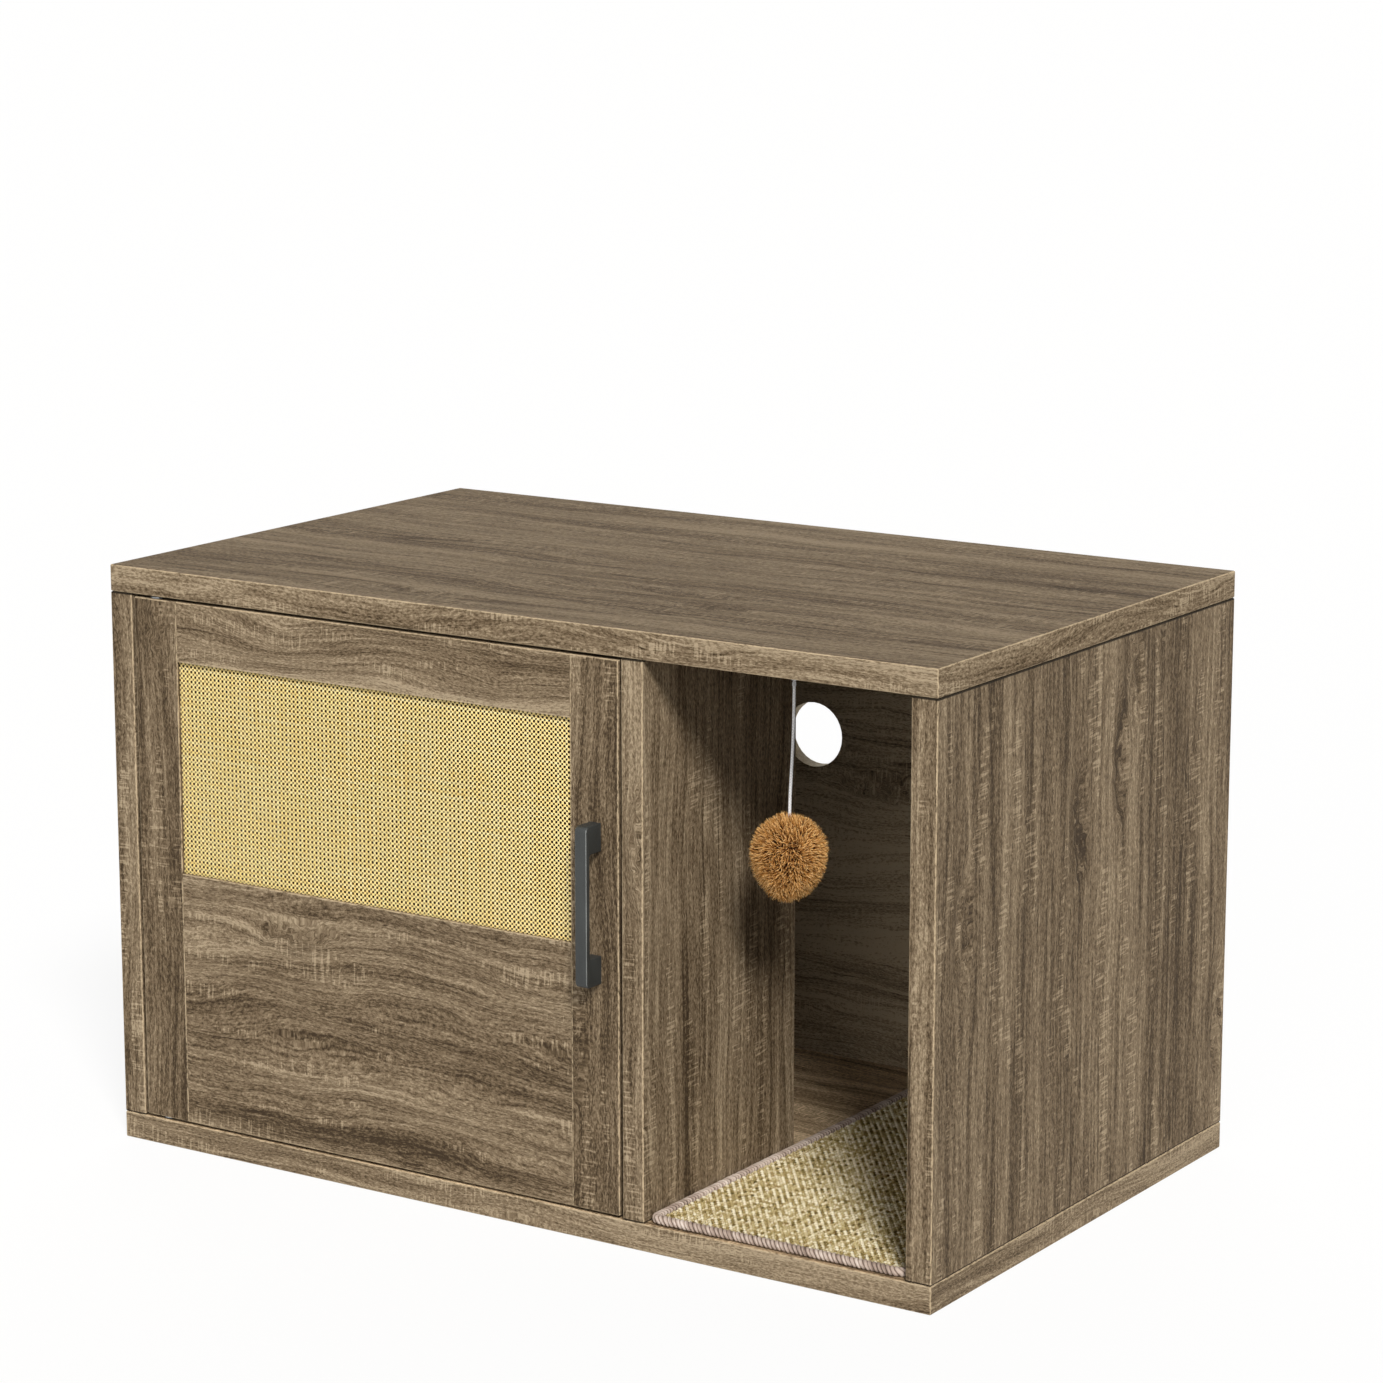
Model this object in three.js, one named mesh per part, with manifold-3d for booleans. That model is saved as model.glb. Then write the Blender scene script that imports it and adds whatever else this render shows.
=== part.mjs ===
// Cat litter box cabinet. A rattan-fronted door on pin hinges closes the litter bay on the left.
// The open bay on the right holds a scratch mat and a hanging pompom, and leads to the litter
// bay through a passage behind the divider.
// Millimetres. +X to the right, +Y to the back, +Z up. The origin is the centre of the bottom
// board's underside.

import * as THREE from 'three';
import { RoundedBoxGeometry } from 'three/addons/geometries/RoundedBoxGeometry.js';
import { mergeVertices } from 'three/addons/utils/BufferGeometryUtils.js';
import Module from 'manifold-3d';

const wasm = await Module();
wasm.setup();

// ---------------------------------------------------------------- driving dimensions

// Carcass
const WIDTH = 880;
const DEPTH = 540;
const HEIGHT = 550;
const BOARD = 25;              // top, bottom and side boards
const DIVIDER_BOARD = 22;
const DIVIDER_DEPTH = 247;     // the passage behind it takes the rest
const BACK_BOARD = 15;
const BACK_INSET = 2.5;        // back board to the rear edges
const BACK_EDGE = 0.8;         // rounding of the back board's edges
const DOOR_BAY = 544.5;        // clear width of the litter bay
const EDGE = 1.5;              // rounding of the carcass boards' edges
const HOLE_RADIUS = 32;        // round hole in the back board
const HOLE_RISE = 72;          // its centre above the middle of the height
const HOLE_SIDES = 32;

// Clearances
const SEAM = 0.2;              // between faces that are clamped or rest on each other
const FIT = 0.3;               // all round a piece in its bore or pocket

// Carcass fixings
const DOWEL_RADIUS = 4;
const DOWEL_STUB = 12;         // length in the face of the other board
const DOWEL_ROW = 130;         // from the front and back edges of a side board
const DIVIDER_DOWEL_ROW = 60;  // from the front and back edges of the divider
const CAM_RADIUS = 7.5;
const CAM_LENGTH = 12.5;
const CAM_WALL = 4.5;          // solid face of the cam over its hollow
const CAM_SETBACK = 24;        // cam centre to the end of its board
const CAM_ROW = 50;            // from the front and back edges of a side board
const BOLT_DEPTH = 8.5;        // bolt axis below the face that the cam opens on
const BOLT_THREAD_RADIUS = 3;
const BOLT_THREAD_LENGTH = 10;
const BOLT_SHANK_RADIUS = 2.5;
const BOLT_NECK_RADIUS = 1.6;
const BOLT_NECK_LENGTH = 5;
const BOLT_HEAD_LENGTH = 3;
const BACK_DOWEL_RADIUS = 3;
const BACK_DOWEL_STUB = 10;
const BACK_DOWEL_ROW = 90;     // from the corners of the back board
const BORE_SPARE = 0.5;        // blind bores run this far past what they hold

// Door
const DOOR_BOARD = 18;
const DOOR_SIDE_GAP = 3;
const DOOR_END_GAP = 2.5;
const DOOR_EDGE = 1.4;         // rounding of the door's outer edges
const MEMBER_EDGE = 0.4;       // rounding of the door members' other edges
const STILE = 50;
const TOP_RAIL = 56;
const WINDOW_HEIGHT = 199.5;
const RATTAN_SETBACK = 3;
const RATTAN_THICK = 1.6;
const REBATE = 10;             // how far the rattan runs behind the frame
const BEAD_DEPTH = 12;
const BEAD_EDGE = 1.2;
const DOOR_DOWEL_RADIUS = 3.5;
const DOOR_DOWEL_STUB = 15;    // length in the stile
const DOOR_DOWEL_ROW = 16;     // from the edges of the rail
const PANEL_DOWEL_ROW = 34;    // from the edges of the lower panel

// Pin hinges
const PIVOT_INSET = 22;        // pin axis to the door's left edge
const PIN_RADIUS = 2.5;
const PIN_LENGTH = 10;         // length in the bushing
const SHANK_RADIUS = 4;
const SHANK_LENGTH = 20;       // length in the door
const COLLAR_RADIUS = 7;
const BUSHING_WALL = 2.2;
const BUSHING_FLOOR = 2;

// Handle
const HANDLE_LENGTH = 143;
const HANDLE_WIDTH = 12;
const HANDLE_REACH = 22.4;     // from the door's face
const HANDLE_BAR = 5.4;
const HANDLE_FOOT = 25;
const HANDLE_CORNER = 5;
const HANDLE_FILLET = 3;
const HANDLE_EDGE = 0.8;
const HANDLE_INSET = 24;       // centre line to the door's right edge
const HANDLE_RISE = 31.5;      // its centre above the door's middle
const HANDLE_SCREW_RADIUS = 2;
const HANDLE_SCREW_GRIP = 8;   // length in the foot
const HANDLE_SCREW_HEAD = 4;
const HANDLE_SCREW_HEAD_HEIGHT = 2.4;

// Magnetic catch
const CATCH_WIDTH = 20;
const CATCH_DEPTH = 15;
const CATCH_HEIGHT = 50;
const CATCH_EDGE = 0.8;
const CATCH_DROP = 92.5;       // its centre below the door's top
const MAGNET_WIDTH = 10;
const MAGNET_DEPTH = 8;
const MAGNET_HEIGHT = 24;
const CATCH_SCREW_SPAN = 38;
const STRIKE_WIDTH = 14;
const STRIKE_HEIGHT = 44;
const STRIKE_THICK = 1.5;
const STRIKE_SCREW_SPAN = 33;
const SCREW_RADIUS = 1.5;
const SCREW_HEAD_RADIUS = 2.9;
const SCREW_SINK = 1.3;        // depth of a countersunk head
const SCREW_GRIP = 11;         // length in the wood

// Scratch mat
const MAT_SIDE_GAP = 1;
const MAT_FRONT_GAP = 3;       // from the cabinet's front
const MAT_BACK_GAP = 29.5;     // from the back board
const MAT_CORNER = 12;
const MAT_BINDING = 9.5;
const MAT_BINDING_HEIGHT = 8;
const MAT_BINDING_EDGE = 2;
const MAT_BACKING = 1.4;
const MAT_SISAL = 4.2;

// Toy
const TOY_FROM_DIVIDER = 89.2; // screw eye to the divider's face
const TOY_FROM_FRONT = 100;
const EYE_DROP = 11;           // eye's centre below the top board
const EYE_RADIUS = 5.1;
const EYE_WIRE = 1.1;
const EYE_SHANK = 14;          // length in the top board
const EYE_SHANK_RADIUS = 1.6;
const LOOP_RADIUS = 5;
const CORD_RADIUS = 1.4;
const CORD_SIDES = 8;          // an even number
const CORD_STEP = 8;           // tube length between rings
const POMPOM_WIDTH = 69;
const POMPOM_HEIGHT = 78;
// The cord's line below the loop, from its upper end to the top of the pompom.
const CORD_POINTS = [
  [0, 0, 0],
  [0, 0, -14],
  [-0.4, 0, -36],
  [-1.2, 0, -58],
  [-2.4, 0, -80],
  [-3.5, 0, -99],
  [-4, 0, -115.5],
];

// ---------------------------------------------------------------- places worked out from them

const LEFT = -WIDTH / 2;
const RIGHT = WIDTH / 2;
const FRONT = -DEPTH / 2;
const BACK = DEPTH / 2;
const FLOOR = BOARD;                       // upper face of the bottom board
const CEILING = HEIGHT - BOARD;            // lower face of the top board
const BAY_LEFT = LEFT + BOARD;
const DIVIDER_LEFT = BAY_LEFT + DOOR_BAY;
const DIVIDER_RIGHT = DIVIDER_LEFT + DIVIDER_BOARD;
const BAY_RIGHT = RIGHT - BOARD;
const BACK_FACE = BACK - BACK_INSET - BACK_BOARD;

const DOOR_LEFT = BAY_LEFT + DOOR_SIDE_GAP;
const DOOR_RIGHT = DIVIDER_LEFT - DOOR_SIDE_GAP;
const DOOR_BOTTOM = FLOOR + DOOR_END_GAP;
const DOOR_TOP = CEILING - DOOR_END_GAP;
const DOOR_BACK = FRONT + DOOR_BOARD;
const WINDOW_LEFT = DOOR_LEFT + STILE;
const WINDOW_RIGHT = DOOR_RIGHT - STILE;
const WINDOW_TOP = DOOR_TOP - TOP_RAIL;
const WINDOW_BOTTOM = WINDOW_TOP - WINDOW_HEIGHT;
const PIVOT_X = DOOR_LEFT + PIVOT_INSET;
const PIVOT_Y = FRONT + DOOR_BOARD / 2;
const HANDLE_X = DOOR_RIGHT - HANDLE_INSET;
const HANDLE_Z = (DOOR_BOTTOM + DOOR_TOP) / 2 + HANDLE_RISE;
const CATCH_Z = DOOR_TOP - CATCH_DROP;
const HOLE_Z = HEIGHT / 2 + HOLE_RISE;
const MAT_LENGTH = BACK_FACE - MAT_BACK_GAP - FRONT - MAT_FRONT_GAP;

const UP = new THREE.Vector3(0, 0, 1);
const DOWN = new THREE.Vector3(0, 0, -1);
const TO_RIGHT = new THREE.Vector3(1, 0, 0);
const TO_LEFT = new THREE.Vector3(-1, 0, 0);
const TO_BACK = new THREE.Vector3(0, 1, 0);
const TO_FRONT = new THREE.Vector3(0, -1, 0);

// ---------------------------------------------------------------- finishes

const finish = (color, roughness, metalness = 0) =>
  new THREE.MeshStandardMaterial({ color, roughness, metalness });

const OAK = finish(0x7a6852, 0.6);
const RATTAN = finish(0xdcae5a, 0.7);
const BLACK_METAL = finish(0x2c2e33, 0.45, 0.6);
const ZINC = finish(0xb9bcc0, 0.35, 0.9);
const STEEL = finish(0x9a9da1, 0.3, 0.95);
const NYLON = finish(0x2b2621, 0.55);
const BROWN_PLASTIC = finish(0x4d3b2c, 0.5);
const MAGNET_FINISH = finish(0x3a3a3c, 0.6, 0.3);
const SISAL = finish(0xb9a76c, 0.95);
const BINDING = finish(0x8a7768, 0.9);
const RUBBER = finish(0x3b3836, 0.9);
const CORD = finish(0xf2f1ee, 0.85);
const POMPOM = finish(0xa8712f, 0.95);

// ---------------------------------------------------------------- helpers

// The geometry with its positions alone, and one vertex where several meet.
function bare(geometry) {
  const copy = geometry.clone();
  copy.deleteAttribute('normal');
  copy.deleteAttribute('uv');
  return mergeVertices(copy);
}

function toSolid(geometry) {
  const shape = bare(geometry);
  return new wasm.Manifold(new wasm.Mesh({
    numProp: 3,
    vertProperties: new Float32Array(shape.attributes.position.array),
    triVerts: new Uint32Array(shape.index.array),
  }));
}

function toGeometry(solid) {
  const mesh = solid.getMesh();
  const geometry = new THREE.BufferGeometry();
  geometry.setAttribute('position', new THREE.BufferAttribute(mesh.vertProperties, 3));
  geometry.setIndex(new THREE.BufferAttribute(mesh.triVerts, 1));
  return geometry;
}

// The geometry with each of the tools cut away.
function cut(geometry, tools) {
  let solid = toSolid(geometry);
  for (const tool of tools) {
    solid = solid.subtract(toSolid(tool));
  }
  return toGeometry(solid);
}

// What two geometries have in common.
const common = (a, b) => toGeometry(toSolid(a).intersect(toSolid(b)));

// The geometry with each of the others joined to it.
function join(geometry, others) {
  let solid = toSolid(geometry);
  for (const other of others) {
    solid = solid.add(toSolid(other));
  }
  return toGeometry(solid);
}

// A box between two corners, with its edges rounded where a radius is given.
function box(low, high, radius = 0, segments = 2) {
  const size = high.map((value, i) => value - low[i]);
  const centre = high.map((value, i) => (value + low[i]) / 2);
  const geometry = radius > 0
    ? new RoundedBoxGeometry(...size, segments, radius)
    : new THREE.BoxGeometry(...size);
  return geometry.translate(...centre);
}

// Turns a geometry built along +Y to run along a direction, and moves it to its start.
function aim(geometry, start, direction) {
  const turn = new THREE.Quaternion().setFromUnitVectors(TO_BACK, direction);
  return geometry.applyQuaternion(turn).translate(...start);
}

// A round bar or bore from a point along a direction.
function rod(start, direction, length, radius, sides = 10) {
  const geometry = new THREE.CylinderGeometry(radius, radius, length, sides);
  return aim(geometry.translate(0, length / 2, 0), start, direction);
}

// A turned piece. Each profile point is [radius, distance from the start along the direction].
function turned(start, direction, profile, sides = 10) {
  const points = profile.map(([radius, along]) => new THREE.Vector2(radius, along));
  return aim(new THREE.LatheGeometry(points, sides), start, direction);
}

// The same distance from both ends of a stretch.
const rows = (start, end, inset) => [start + inset, end - inset];

// A named mesh, with its place in its position.
function piece(name, geometry, material) {
  const shape = bare(geometry);
  shape.computeBoundingBox();
  const centre = shape.boundingBox.getCenter(new THREE.Vector3());
  shape.translate(-centre.x, -centre.y, -centre.z);
  shape.computeVertexNormals();
  const mesh = new THREE.Mesh(shape, material);
  mesh.name = name;
  mesh.position.copy(centre);
  return mesh;
}

function assembly(...meshes) {
  const group = new THREE.Group();
  group.add(...meshes);
  return group;
}

// ---------------------------------------------------------------- carcass joints

// A dowel glued in the end of a board is one piece with it: the stub that stands out of the
// end, and the bore that takes it. `out` points out of the end.
function dowel(point, out, radius, length) {
  const root = new THREE.Vector3(...point).addScaledVector(out, -radius);
  return {
    stub: rod(root.toArray(), out, radius + length, radius),
    bore: rod(point, out, length + BORE_SPARE, radius + FIT),
  };
}

// A cam lock and its bolt. `out` points out of the board's end, and `open` out of its face.
function camJoint(point, out, open) {
  const along = out.clone().negate();
  const inward = open.clone().negate();
  const centre = new THREE.Vector3(...point).addScaledVector(along, CAM_SETBACK)
    .addScaledVector(open, BOLT_DEPTH);

  const slotDepth = CAM_LENGTH - CAM_WALL + BORE_SPARE;
  const slotRun = CAM_RADIUS + BOLT_NECK_LENGTH;
  const slotWidth = 2 * (BOLT_SHANK_RADIUS + FIT);
  const slotCentre = centre.clone()
    .addScaledVector(inward, SEAM + CAM_WALL + slotDepth / 2)
    .addScaledVector(along, BOLT_NECK_LENGTH - slotRun / 2);
  const slot = new THREE.BoxGeometry(slotDepth, slotWidth, slotRun)
    .translate(...slotCentre.toArray());
  const disc = rod(centre.clone().addScaledVector(inward, SEAM).toArray(), inward,
    CAM_LENGTH, CAM_RADIUS, 14);

  const seam = BOLT_THREAD_LENGTH + SEAM + FIT;
  const neck = BOLT_THREAD_LENGTH + CAM_SETBACK;
  const tip = new THREE.Vector3(...point).addScaledVector(out, BOLT_THREAD_LENGTH);
  const bolt = turned(tip.toArray(), along, [
    [0, 0],
    [BOLT_THREAD_RADIUS, 0],
    [BOLT_THREAD_RADIUS, seam],
    [BOLT_SHANK_RADIUS, seam],
    [BOLT_SHANK_RADIUS, neck - BOLT_NECK_LENGTH],
    [BOLT_NECK_RADIUS, neck - BOLT_NECK_LENGTH],
    [BOLT_NECK_RADIUS, neck],
    [BOLT_SHANK_RADIUS, neck],
    [BOLT_SHANK_RADIUS, neck + BOLT_HEAD_LENGTH],
    [0, neck + BOLT_HEAD_LENGTH],
  ], 8);
  const boreRadius = BOLT_THREAD_RADIUS + FIT;
  return {
    cam: cut(disc, [slot]),
    bolt,
    threadBore: rod(point, out, BOLT_THREAD_LENGTH + BORE_SPARE, boreRadius, 8),
    shankBore: rod(point, along, CAM_SETBACK, boreRadius, 8),
    pocket: rod(centre.addScaledVector(open, 1).toArray(), inward,
      1 + CAM_LENGTH + BORE_SPARE, CAM_RADIUS + FIT, 14),
  };
}

// The boards that stand between the bottom and top boards. A cam opens on the face `open`
// points out of, and the back end of each board is `depth` behind its front.
const UPRIGHTS = [
  {
    side: 'left', low: LEFT, high: BAY_LEFT, face: BAY_LEFT, open: TO_RIGHT, depth: DEPTH,
    camRows: { front: FRONT + CAM_ROW, back: BACK - CAM_ROW },
    dowelRows: rows(FRONT, BACK, DOWEL_ROW),
  },
  {
    side: 'right', low: BAY_RIGHT, high: RIGHT, face: BAY_RIGHT, open: TO_LEFT, depth: DEPTH,
    camRows: { front: FRONT + CAM_ROW, back: BACK - CAM_ROW },
    dowelRows: rows(FRONT, BACK, DOWEL_ROW),
  },
  {
    side: 'divider', low: DIVIDER_LEFT, high: DIVIDER_RIGHT, face: DIVIDER_LEFT, open: TO_LEFT,
    depth: DIVIDER_DEPTH,
    camRows: { middle: FRONT + DIVIDER_DEPTH / 2 },
    dowelRows: rows(FRONT, FRONT + DIVIDER_DEPTH, DIVIDER_DOWEL_ROW),
  },
];
const ENDS = [
  { level: 'bottom', z: FLOOR, out: DOWN, bores: [] },
  { level: 'top', z: CEILING, out: UP, bores: [] },
];
const [BOTTOM_END, TOP_END] = ENDS;
const camPieces = [];

for (const board of UPRIGHTS) {
  board.bores = [];
  board.stubs = [];
  for (const { level, z, out, bores } of ENDS) {
    for (const y of board.dowelRows) {
      const { stub, bore } = dowel([(board.low + board.high) / 2, y, z], out, DOWEL_RADIUS,
        DOWEL_STUB);
      board.stubs.push(stub);
      bores.push(bore);
    }
    for (const [row, y] of Object.entries(board.camRows)) {
      const boltX = board.face - board.open.x * BOLT_DEPTH;
      const joint = camJoint([boltX, y, z], out, board.open);
      const place = `${board.side}_${level}_${row}`;
      camPieces.push(piece(`cam_lock_${place}`, joint.cam, ZINC));
      camPieces.push(piece(`cam_bolt_${place}`, joint.bolt, ZINC));
      bores.push(joint.threadBore);
      board.bores.push(joint.shankBore, joint.pocket);
    }
  }
}
const [LEFT_UPRIGHT, RIGHT_UPRIGHT, DIVIDER] = UPRIGHTS;

// The dowels round the back board.
const backStubs = [];
function backDowel(x, z, out, bores) {
  const point = [x, BACK_FACE + BACK_BOARD / 2, z];
  const { stub, bore } = dowel(point, out, BACK_DOWEL_RADIUS, BACK_DOWEL_STUB);
  backStubs.push(stub);
  bores.push(bore);
}
for (const z of rows(FLOOR, CEILING, BACK_DOWEL_ROW)) {
  backDowel(BAY_LEFT, z, TO_LEFT, LEFT_UPRIGHT.bores);
  backDowel(BAY_RIGHT, z, TO_RIGHT, RIGHT_UPRIGHT.bores);
}
for (const x of rows(BAY_LEFT, BAY_RIGHT, BACK_DOWEL_ROW)) {
  backDowel(x, FLOOR, DOWN, BOTTOM_END.bores);
  backDowel(x, CEILING, UP, TOP_END.bores);
}

// ---------------------------------------------------------------- pin hinges

// The washer that the collar and the flange each make in the gap over and under the door.
const WASHER = (DOOR_END_GAP - SEAM - 2 * FIT) / 2;
const BUSHING_RADIUS = PIN_RADIUS + FIT + BUSHING_WALL;
const BUSHING_LENGTH = PIN_LENGTH + BUSHING_FLOOR;

// A bushing in the board and a pin in the door. `out` points from the door to the board.
function pinHinge(boardZ, doorZ, out) {
  const inward = out.clone().negate();
  const axis = (z) => [PIVOT_X, PIVOT_Y, z];
  const flangeTop = SEAM + WASHER;
  const bushing = turned(axis(boardZ), inward, [
    [0, -BUSHING_LENGTH],
    [BUSHING_RADIUS, -BUSHING_LENGTH],
    [BUSHING_RADIUS, SEAM],
    [COLLAR_RADIUS, SEAM],
    [COLLAR_RADIUS, flangeTop],
    [PIN_RADIUS + FIT, flangeTop],
    [PIN_RADIUS + FIT, BUSHING_FLOOR - BUSHING_LENGTH],
    [0, BUSHING_FLOOR - BUSHING_LENGTH],
  ], 16);
  const pinTip = DOOR_END_GAP + PIN_LENGTH - 2 * FIT;
  const pin = turned(axis(doorZ), inward, [
    [0, -pinTip],
    [PIN_RADIUS, -pinTip],
    [PIN_RADIUS, -FIT - WASHER],
    [COLLAR_RADIUS, -FIT - WASHER],
    [COLLAR_RADIUS, -FIT],
    [SHANK_RADIUS, -FIT],
    [SHANK_RADIUS, SHANK_LENGTH],
    [0, SHANK_LENGTH],
  ], 16);
  return {
    bushing,
    pin,
    boardBore: rod(axis(boardZ), out, BUSHING_LENGTH + BORE_SPARE, BUSHING_RADIUS + FIT, 16),
    doorBore: rod(axis(doorZ), inward, SHANK_LENGTH + BORE_SPARE, SHANK_RADIUS + FIT, 14),
  };
}

const lowerHinge = pinHinge(FLOOR, DOOR_BOTTOM, DOWN);
const upperHinge = pinHinge(CEILING, DOOR_TOP, UP);

// ---------------------------------------------------------------- screws

// A countersunk wood screw and the bore for it, from the face that its head is level with.
function woodScrew(point, direction, through) {
  const length = through + SCREW_GRIP;
  const mouth = SCREW_HEAD_RADIUS + FIT;
  return {
    screw: turned(point, direction, [
      [0, 0],
      [SCREW_HEAD_RADIUS, 0],
      [SCREW_RADIUS, SCREW_SINK],
      [SCREW_RADIUS, length],
      [0, length],
    ]),
    bore: turned(point, direction, [
      [0, -BORE_SPARE],
      [mouth, -BORE_SPARE],
      [mouth, 0],
      [SCREW_RADIUS + FIT, SCREW_SINK],
      [SCREW_RADIUS + FIT, length + BORE_SPARE],
      [0, length + BORE_SPARE],
    ]),
  };
}

// One piece for each screw: lower first.
const numbered = (name, screws) =>
  screws.map(({ screw }, i) => piece(`${name}_${['lower', 'upper'][i]}`, screw, STEEL));

// ---------------------------------------------------------------- magnetic catch

const catchRight = DIVIDER_LEFT - SEAM;
const catchLeft = catchRight - CATCH_WIDTH;
const catchMiddle = (catchLeft + catchRight) / 2;
const strikeBack = DOOR_BACK + SEAM + STRIKE_THICK;
const catchFront = strikeBack + FIT;
const catchBack = catchFront + CATCH_DEPTH;

const catchScrews = rows(-CATCH_SCREW_SPAN / 2, CATCH_SCREW_SPAN / 2, 0).map((rise) =>
  woodScrew([catchLeft, (catchFront + catchBack) / 2, CATCH_Z + rise], TO_RIGHT,
    CATCH_WIDTH));
const strikeScrews = rows(-STRIKE_SCREW_SPAN / 2, STRIKE_SCREW_SPAN / 2, 0).map((rise) =>
  woodScrew([catchMiddle, strikeBack, CATCH_Z + rise], TO_FRONT, STRIKE_THICK));

function magneticCatch() {
  const magnetBox = (grow) => box(
    [catchMiddle - MAGNET_WIDTH / 2 - grow, catchFront - grow,
      CATCH_Z - MAGNET_HEIGHT / 2 - grow],
    [catchMiddle + MAGNET_WIDTH / 2 + grow, catchFront + MAGNET_DEPTH + grow,
      CATCH_Z + MAGNET_HEIGHT / 2 + grow]);
  const body = box(
    [catchLeft, catchFront, CATCH_Z - CATCH_HEIGHT / 2],
    [catchRight, catchBack, CATCH_Z + CATCH_HEIGHT / 2], CATCH_EDGE, 1);
  return [
    piece('catch_body', cut(body, [magnetBox(FIT), ...catchScrews.map(({ bore }) => bore)]),
      BROWN_PLASTIC),
    piece('catch_magnet', magnetBox(0), MAGNET_FINISH),
    ...numbered('catch_screw', catchScrews),
  ];
}

// ---------------------------------------------------------------- carcass

function screwEye(x, y) {
  const centre = CEILING - EYE_DROP;
  const ring = new THREE.TorusGeometry(EYE_RADIUS, EYE_WIRE, 6, 16)
    .rotateY(Math.PI / 2)
    .translate(x, y, centre);
  const shankStart = centre + EYE_RADIUS;
  const shank = rod([x, y, shankStart], UP, CEILING + EYE_SHANK - shankStart,
    EYE_SHANK_RADIUS, 10);
  return join(ring, [shank]);
}

const EYE_X = DIVIDER_RIGHT + TOY_FROM_DIVIDER;
const EYE_Y = FRONT + TOY_FROM_FRONT;

function upright(name, { low, high, depth, bores, stubs }, more = []) {
  const shape = box([low, FRONT, FLOOR + SEAM], [high, FRONT + depth, CEILING - SEAM], EDGE);
  return piece(name, join(cut(shape, [...bores, ...more]), stubs), OAK);
}

function carcass() {
  const eyeBore = rod([EYE_X, EYE_Y, CEILING], UP, EYE_SHANK + BORE_SPARE,
    EYE_SHANK_RADIUS + FIT, 10);
  const top = box([LEFT, FRONT, CEILING], [RIGHT, BACK, HEIGHT], EDGE);
  const bottom = box([LEFT, FRONT, 0], [RIGHT, BACK, FLOOR], EDGE);
  const back = box([BAY_LEFT + SEAM, BACK_FACE, FLOOR + SEAM],
    [BAY_RIGHT - SEAM, BACK_FACE + BACK_BOARD, CEILING - SEAM], BACK_EDGE, 1);
  const hole = rod([0, BACK_FACE - 1, HOLE_Z], TO_BACK, BACK_BOARD + 2, HOLE_RADIUS,
    HOLE_SIDES);
  return assembly(
    piece('top_board', cut(top, [...TOP_END.bores, upperHinge.boardBore, eyeBore]), OAK),
    piece('bottom_board', cut(bottom, [...BOTTOM_END.bores, lowerHinge.boardBore]), OAK),
    upright('left_side_board', LEFT_UPRIGHT),
    upright('right_side_board', RIGHT_UPRIGHT),
    upright('divider_board', DIVIDER, catchScrews.map(({ bore }) => bore)),
    piece('back_board', join(cut(back, [hole]), backStubs), OAK),
    ...camPieces,
    piece('upper_hinge_bushing', upperHinge.bushing, NYLON),
    piece('lower_hinge_bushing', lowerHinge.bushing, NYLON),
    piece('toy_screw_eye', screwEye(EYE_X, EYE_Y), ZINC),
    ...magneticCatch(),
  );
}

// ---------------------------------------------------------------- door

// The side view of the handle, as [distance from the door, height], drawn upwards.
function handleShape() {
  const shape = new THREE.Shape();
  const half = HANDLE_LENGTH / 2;
  const inner = half - HANDLE_FOOT;
  const under = HANDLE_REACH - HANDLE_BAR;
  const right = Math.PI / 2;
  shape.moveTo(0, -half);
  shape.lineTo(HANDLE_REACH - HANDLE_CORNER, -half);
  shape.absarc(HANDLE_REACH - HANDLE_CORNER, HANDLE_CORNER - half, HANDLE_CORNER, -right, 0);
  shape.lineTo(HANDLE_REACH, half - HANDLE_CORNER);
  shape.absarc(HANDLE_REACH - HANDLE_CORNER, half - HANDLE_CORNER, HANDLE_CORNER, 0, right);
  shape.lineTo(0, half);
  shape.lineTo(0, inner);
  shape.lineTo(under - HANDLE_FILLET, inner);
  shape.absarc(under - HANDLE_FILLET, inner - HANDLE_FILLET, HANDLE_FILLET, right, 0, true);
  shape.lineTo(under, HANDLE_FILLET - inner);
  shape.absarc(under - HANDLE_FILLET, HANDLE_FILLET - inner, HANDLE_FILLET, 0, -right, true);
  shape.lineTo(0, -inner);
  shape.closePath();
  return shape;
}

function handle() {
  const geometry = new THREE.ExtrudeGeometry(handleShape(), {
    depth: HANDLE_WIDTH - 2 * HANDLE_EDGE,
    bevelThickness: HANDLE_EDGE,
    bevelSize: HANDLE_EDGE,
    bevelOffset: -HANDLE_EDGE,
    bevelSegments: 2,
    curveSegments: 3,
  });
  geometry.translate(0, 0, HANDLE_EDGE - HANDLE_WIDTH / 2);
  const frame = new THREE.Matrix4().makeBasis(TO_FRONT, UP, TO_LEFT);
  return geometry.applyMatrix4(frame).translate(HANDLE_X, FRONT - SEAM, HANDLE_Z);
}

// A pan-head screw from the back of the door into one foot of the handle.
function handleScrew(rise) {
  const z = HANDLE_Z + rise;
  const seat = DOOR_BACK + SEAM;
  const length = DOOR_BOARD + 2 * SEAM + HANDLE_SCREW_GRIP;
  return {
    screw: turned([HANDLE_X, seat, z], TO_FRONT, [
      [0, -HANDLE_SCREW_HEAD_HEIGHT],
      [HANDLE_SCREW_HEAD / 2, -HANDLE_SCREW_HEAD_HEIGHT],
      [HANDLE_SCREW_HEAD, -HANDLE_SCREW_HEAD_HEIGHT / 2],
      [HANDLE_SCREW_HEAD, 0],
      [HANDLE_SCREW_RADIUS, 0],
      [HANDLE_SCREW_RADIUS, length],
      [0, length],
    ]),
    bore: rod([HANDLE_X, DOOR_BACK + 1, z], TO_FRONT, 1 + length + BORE_SPARE,
      HANDLE_SCREW_RADIUS + FIT),
  };
}

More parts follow.
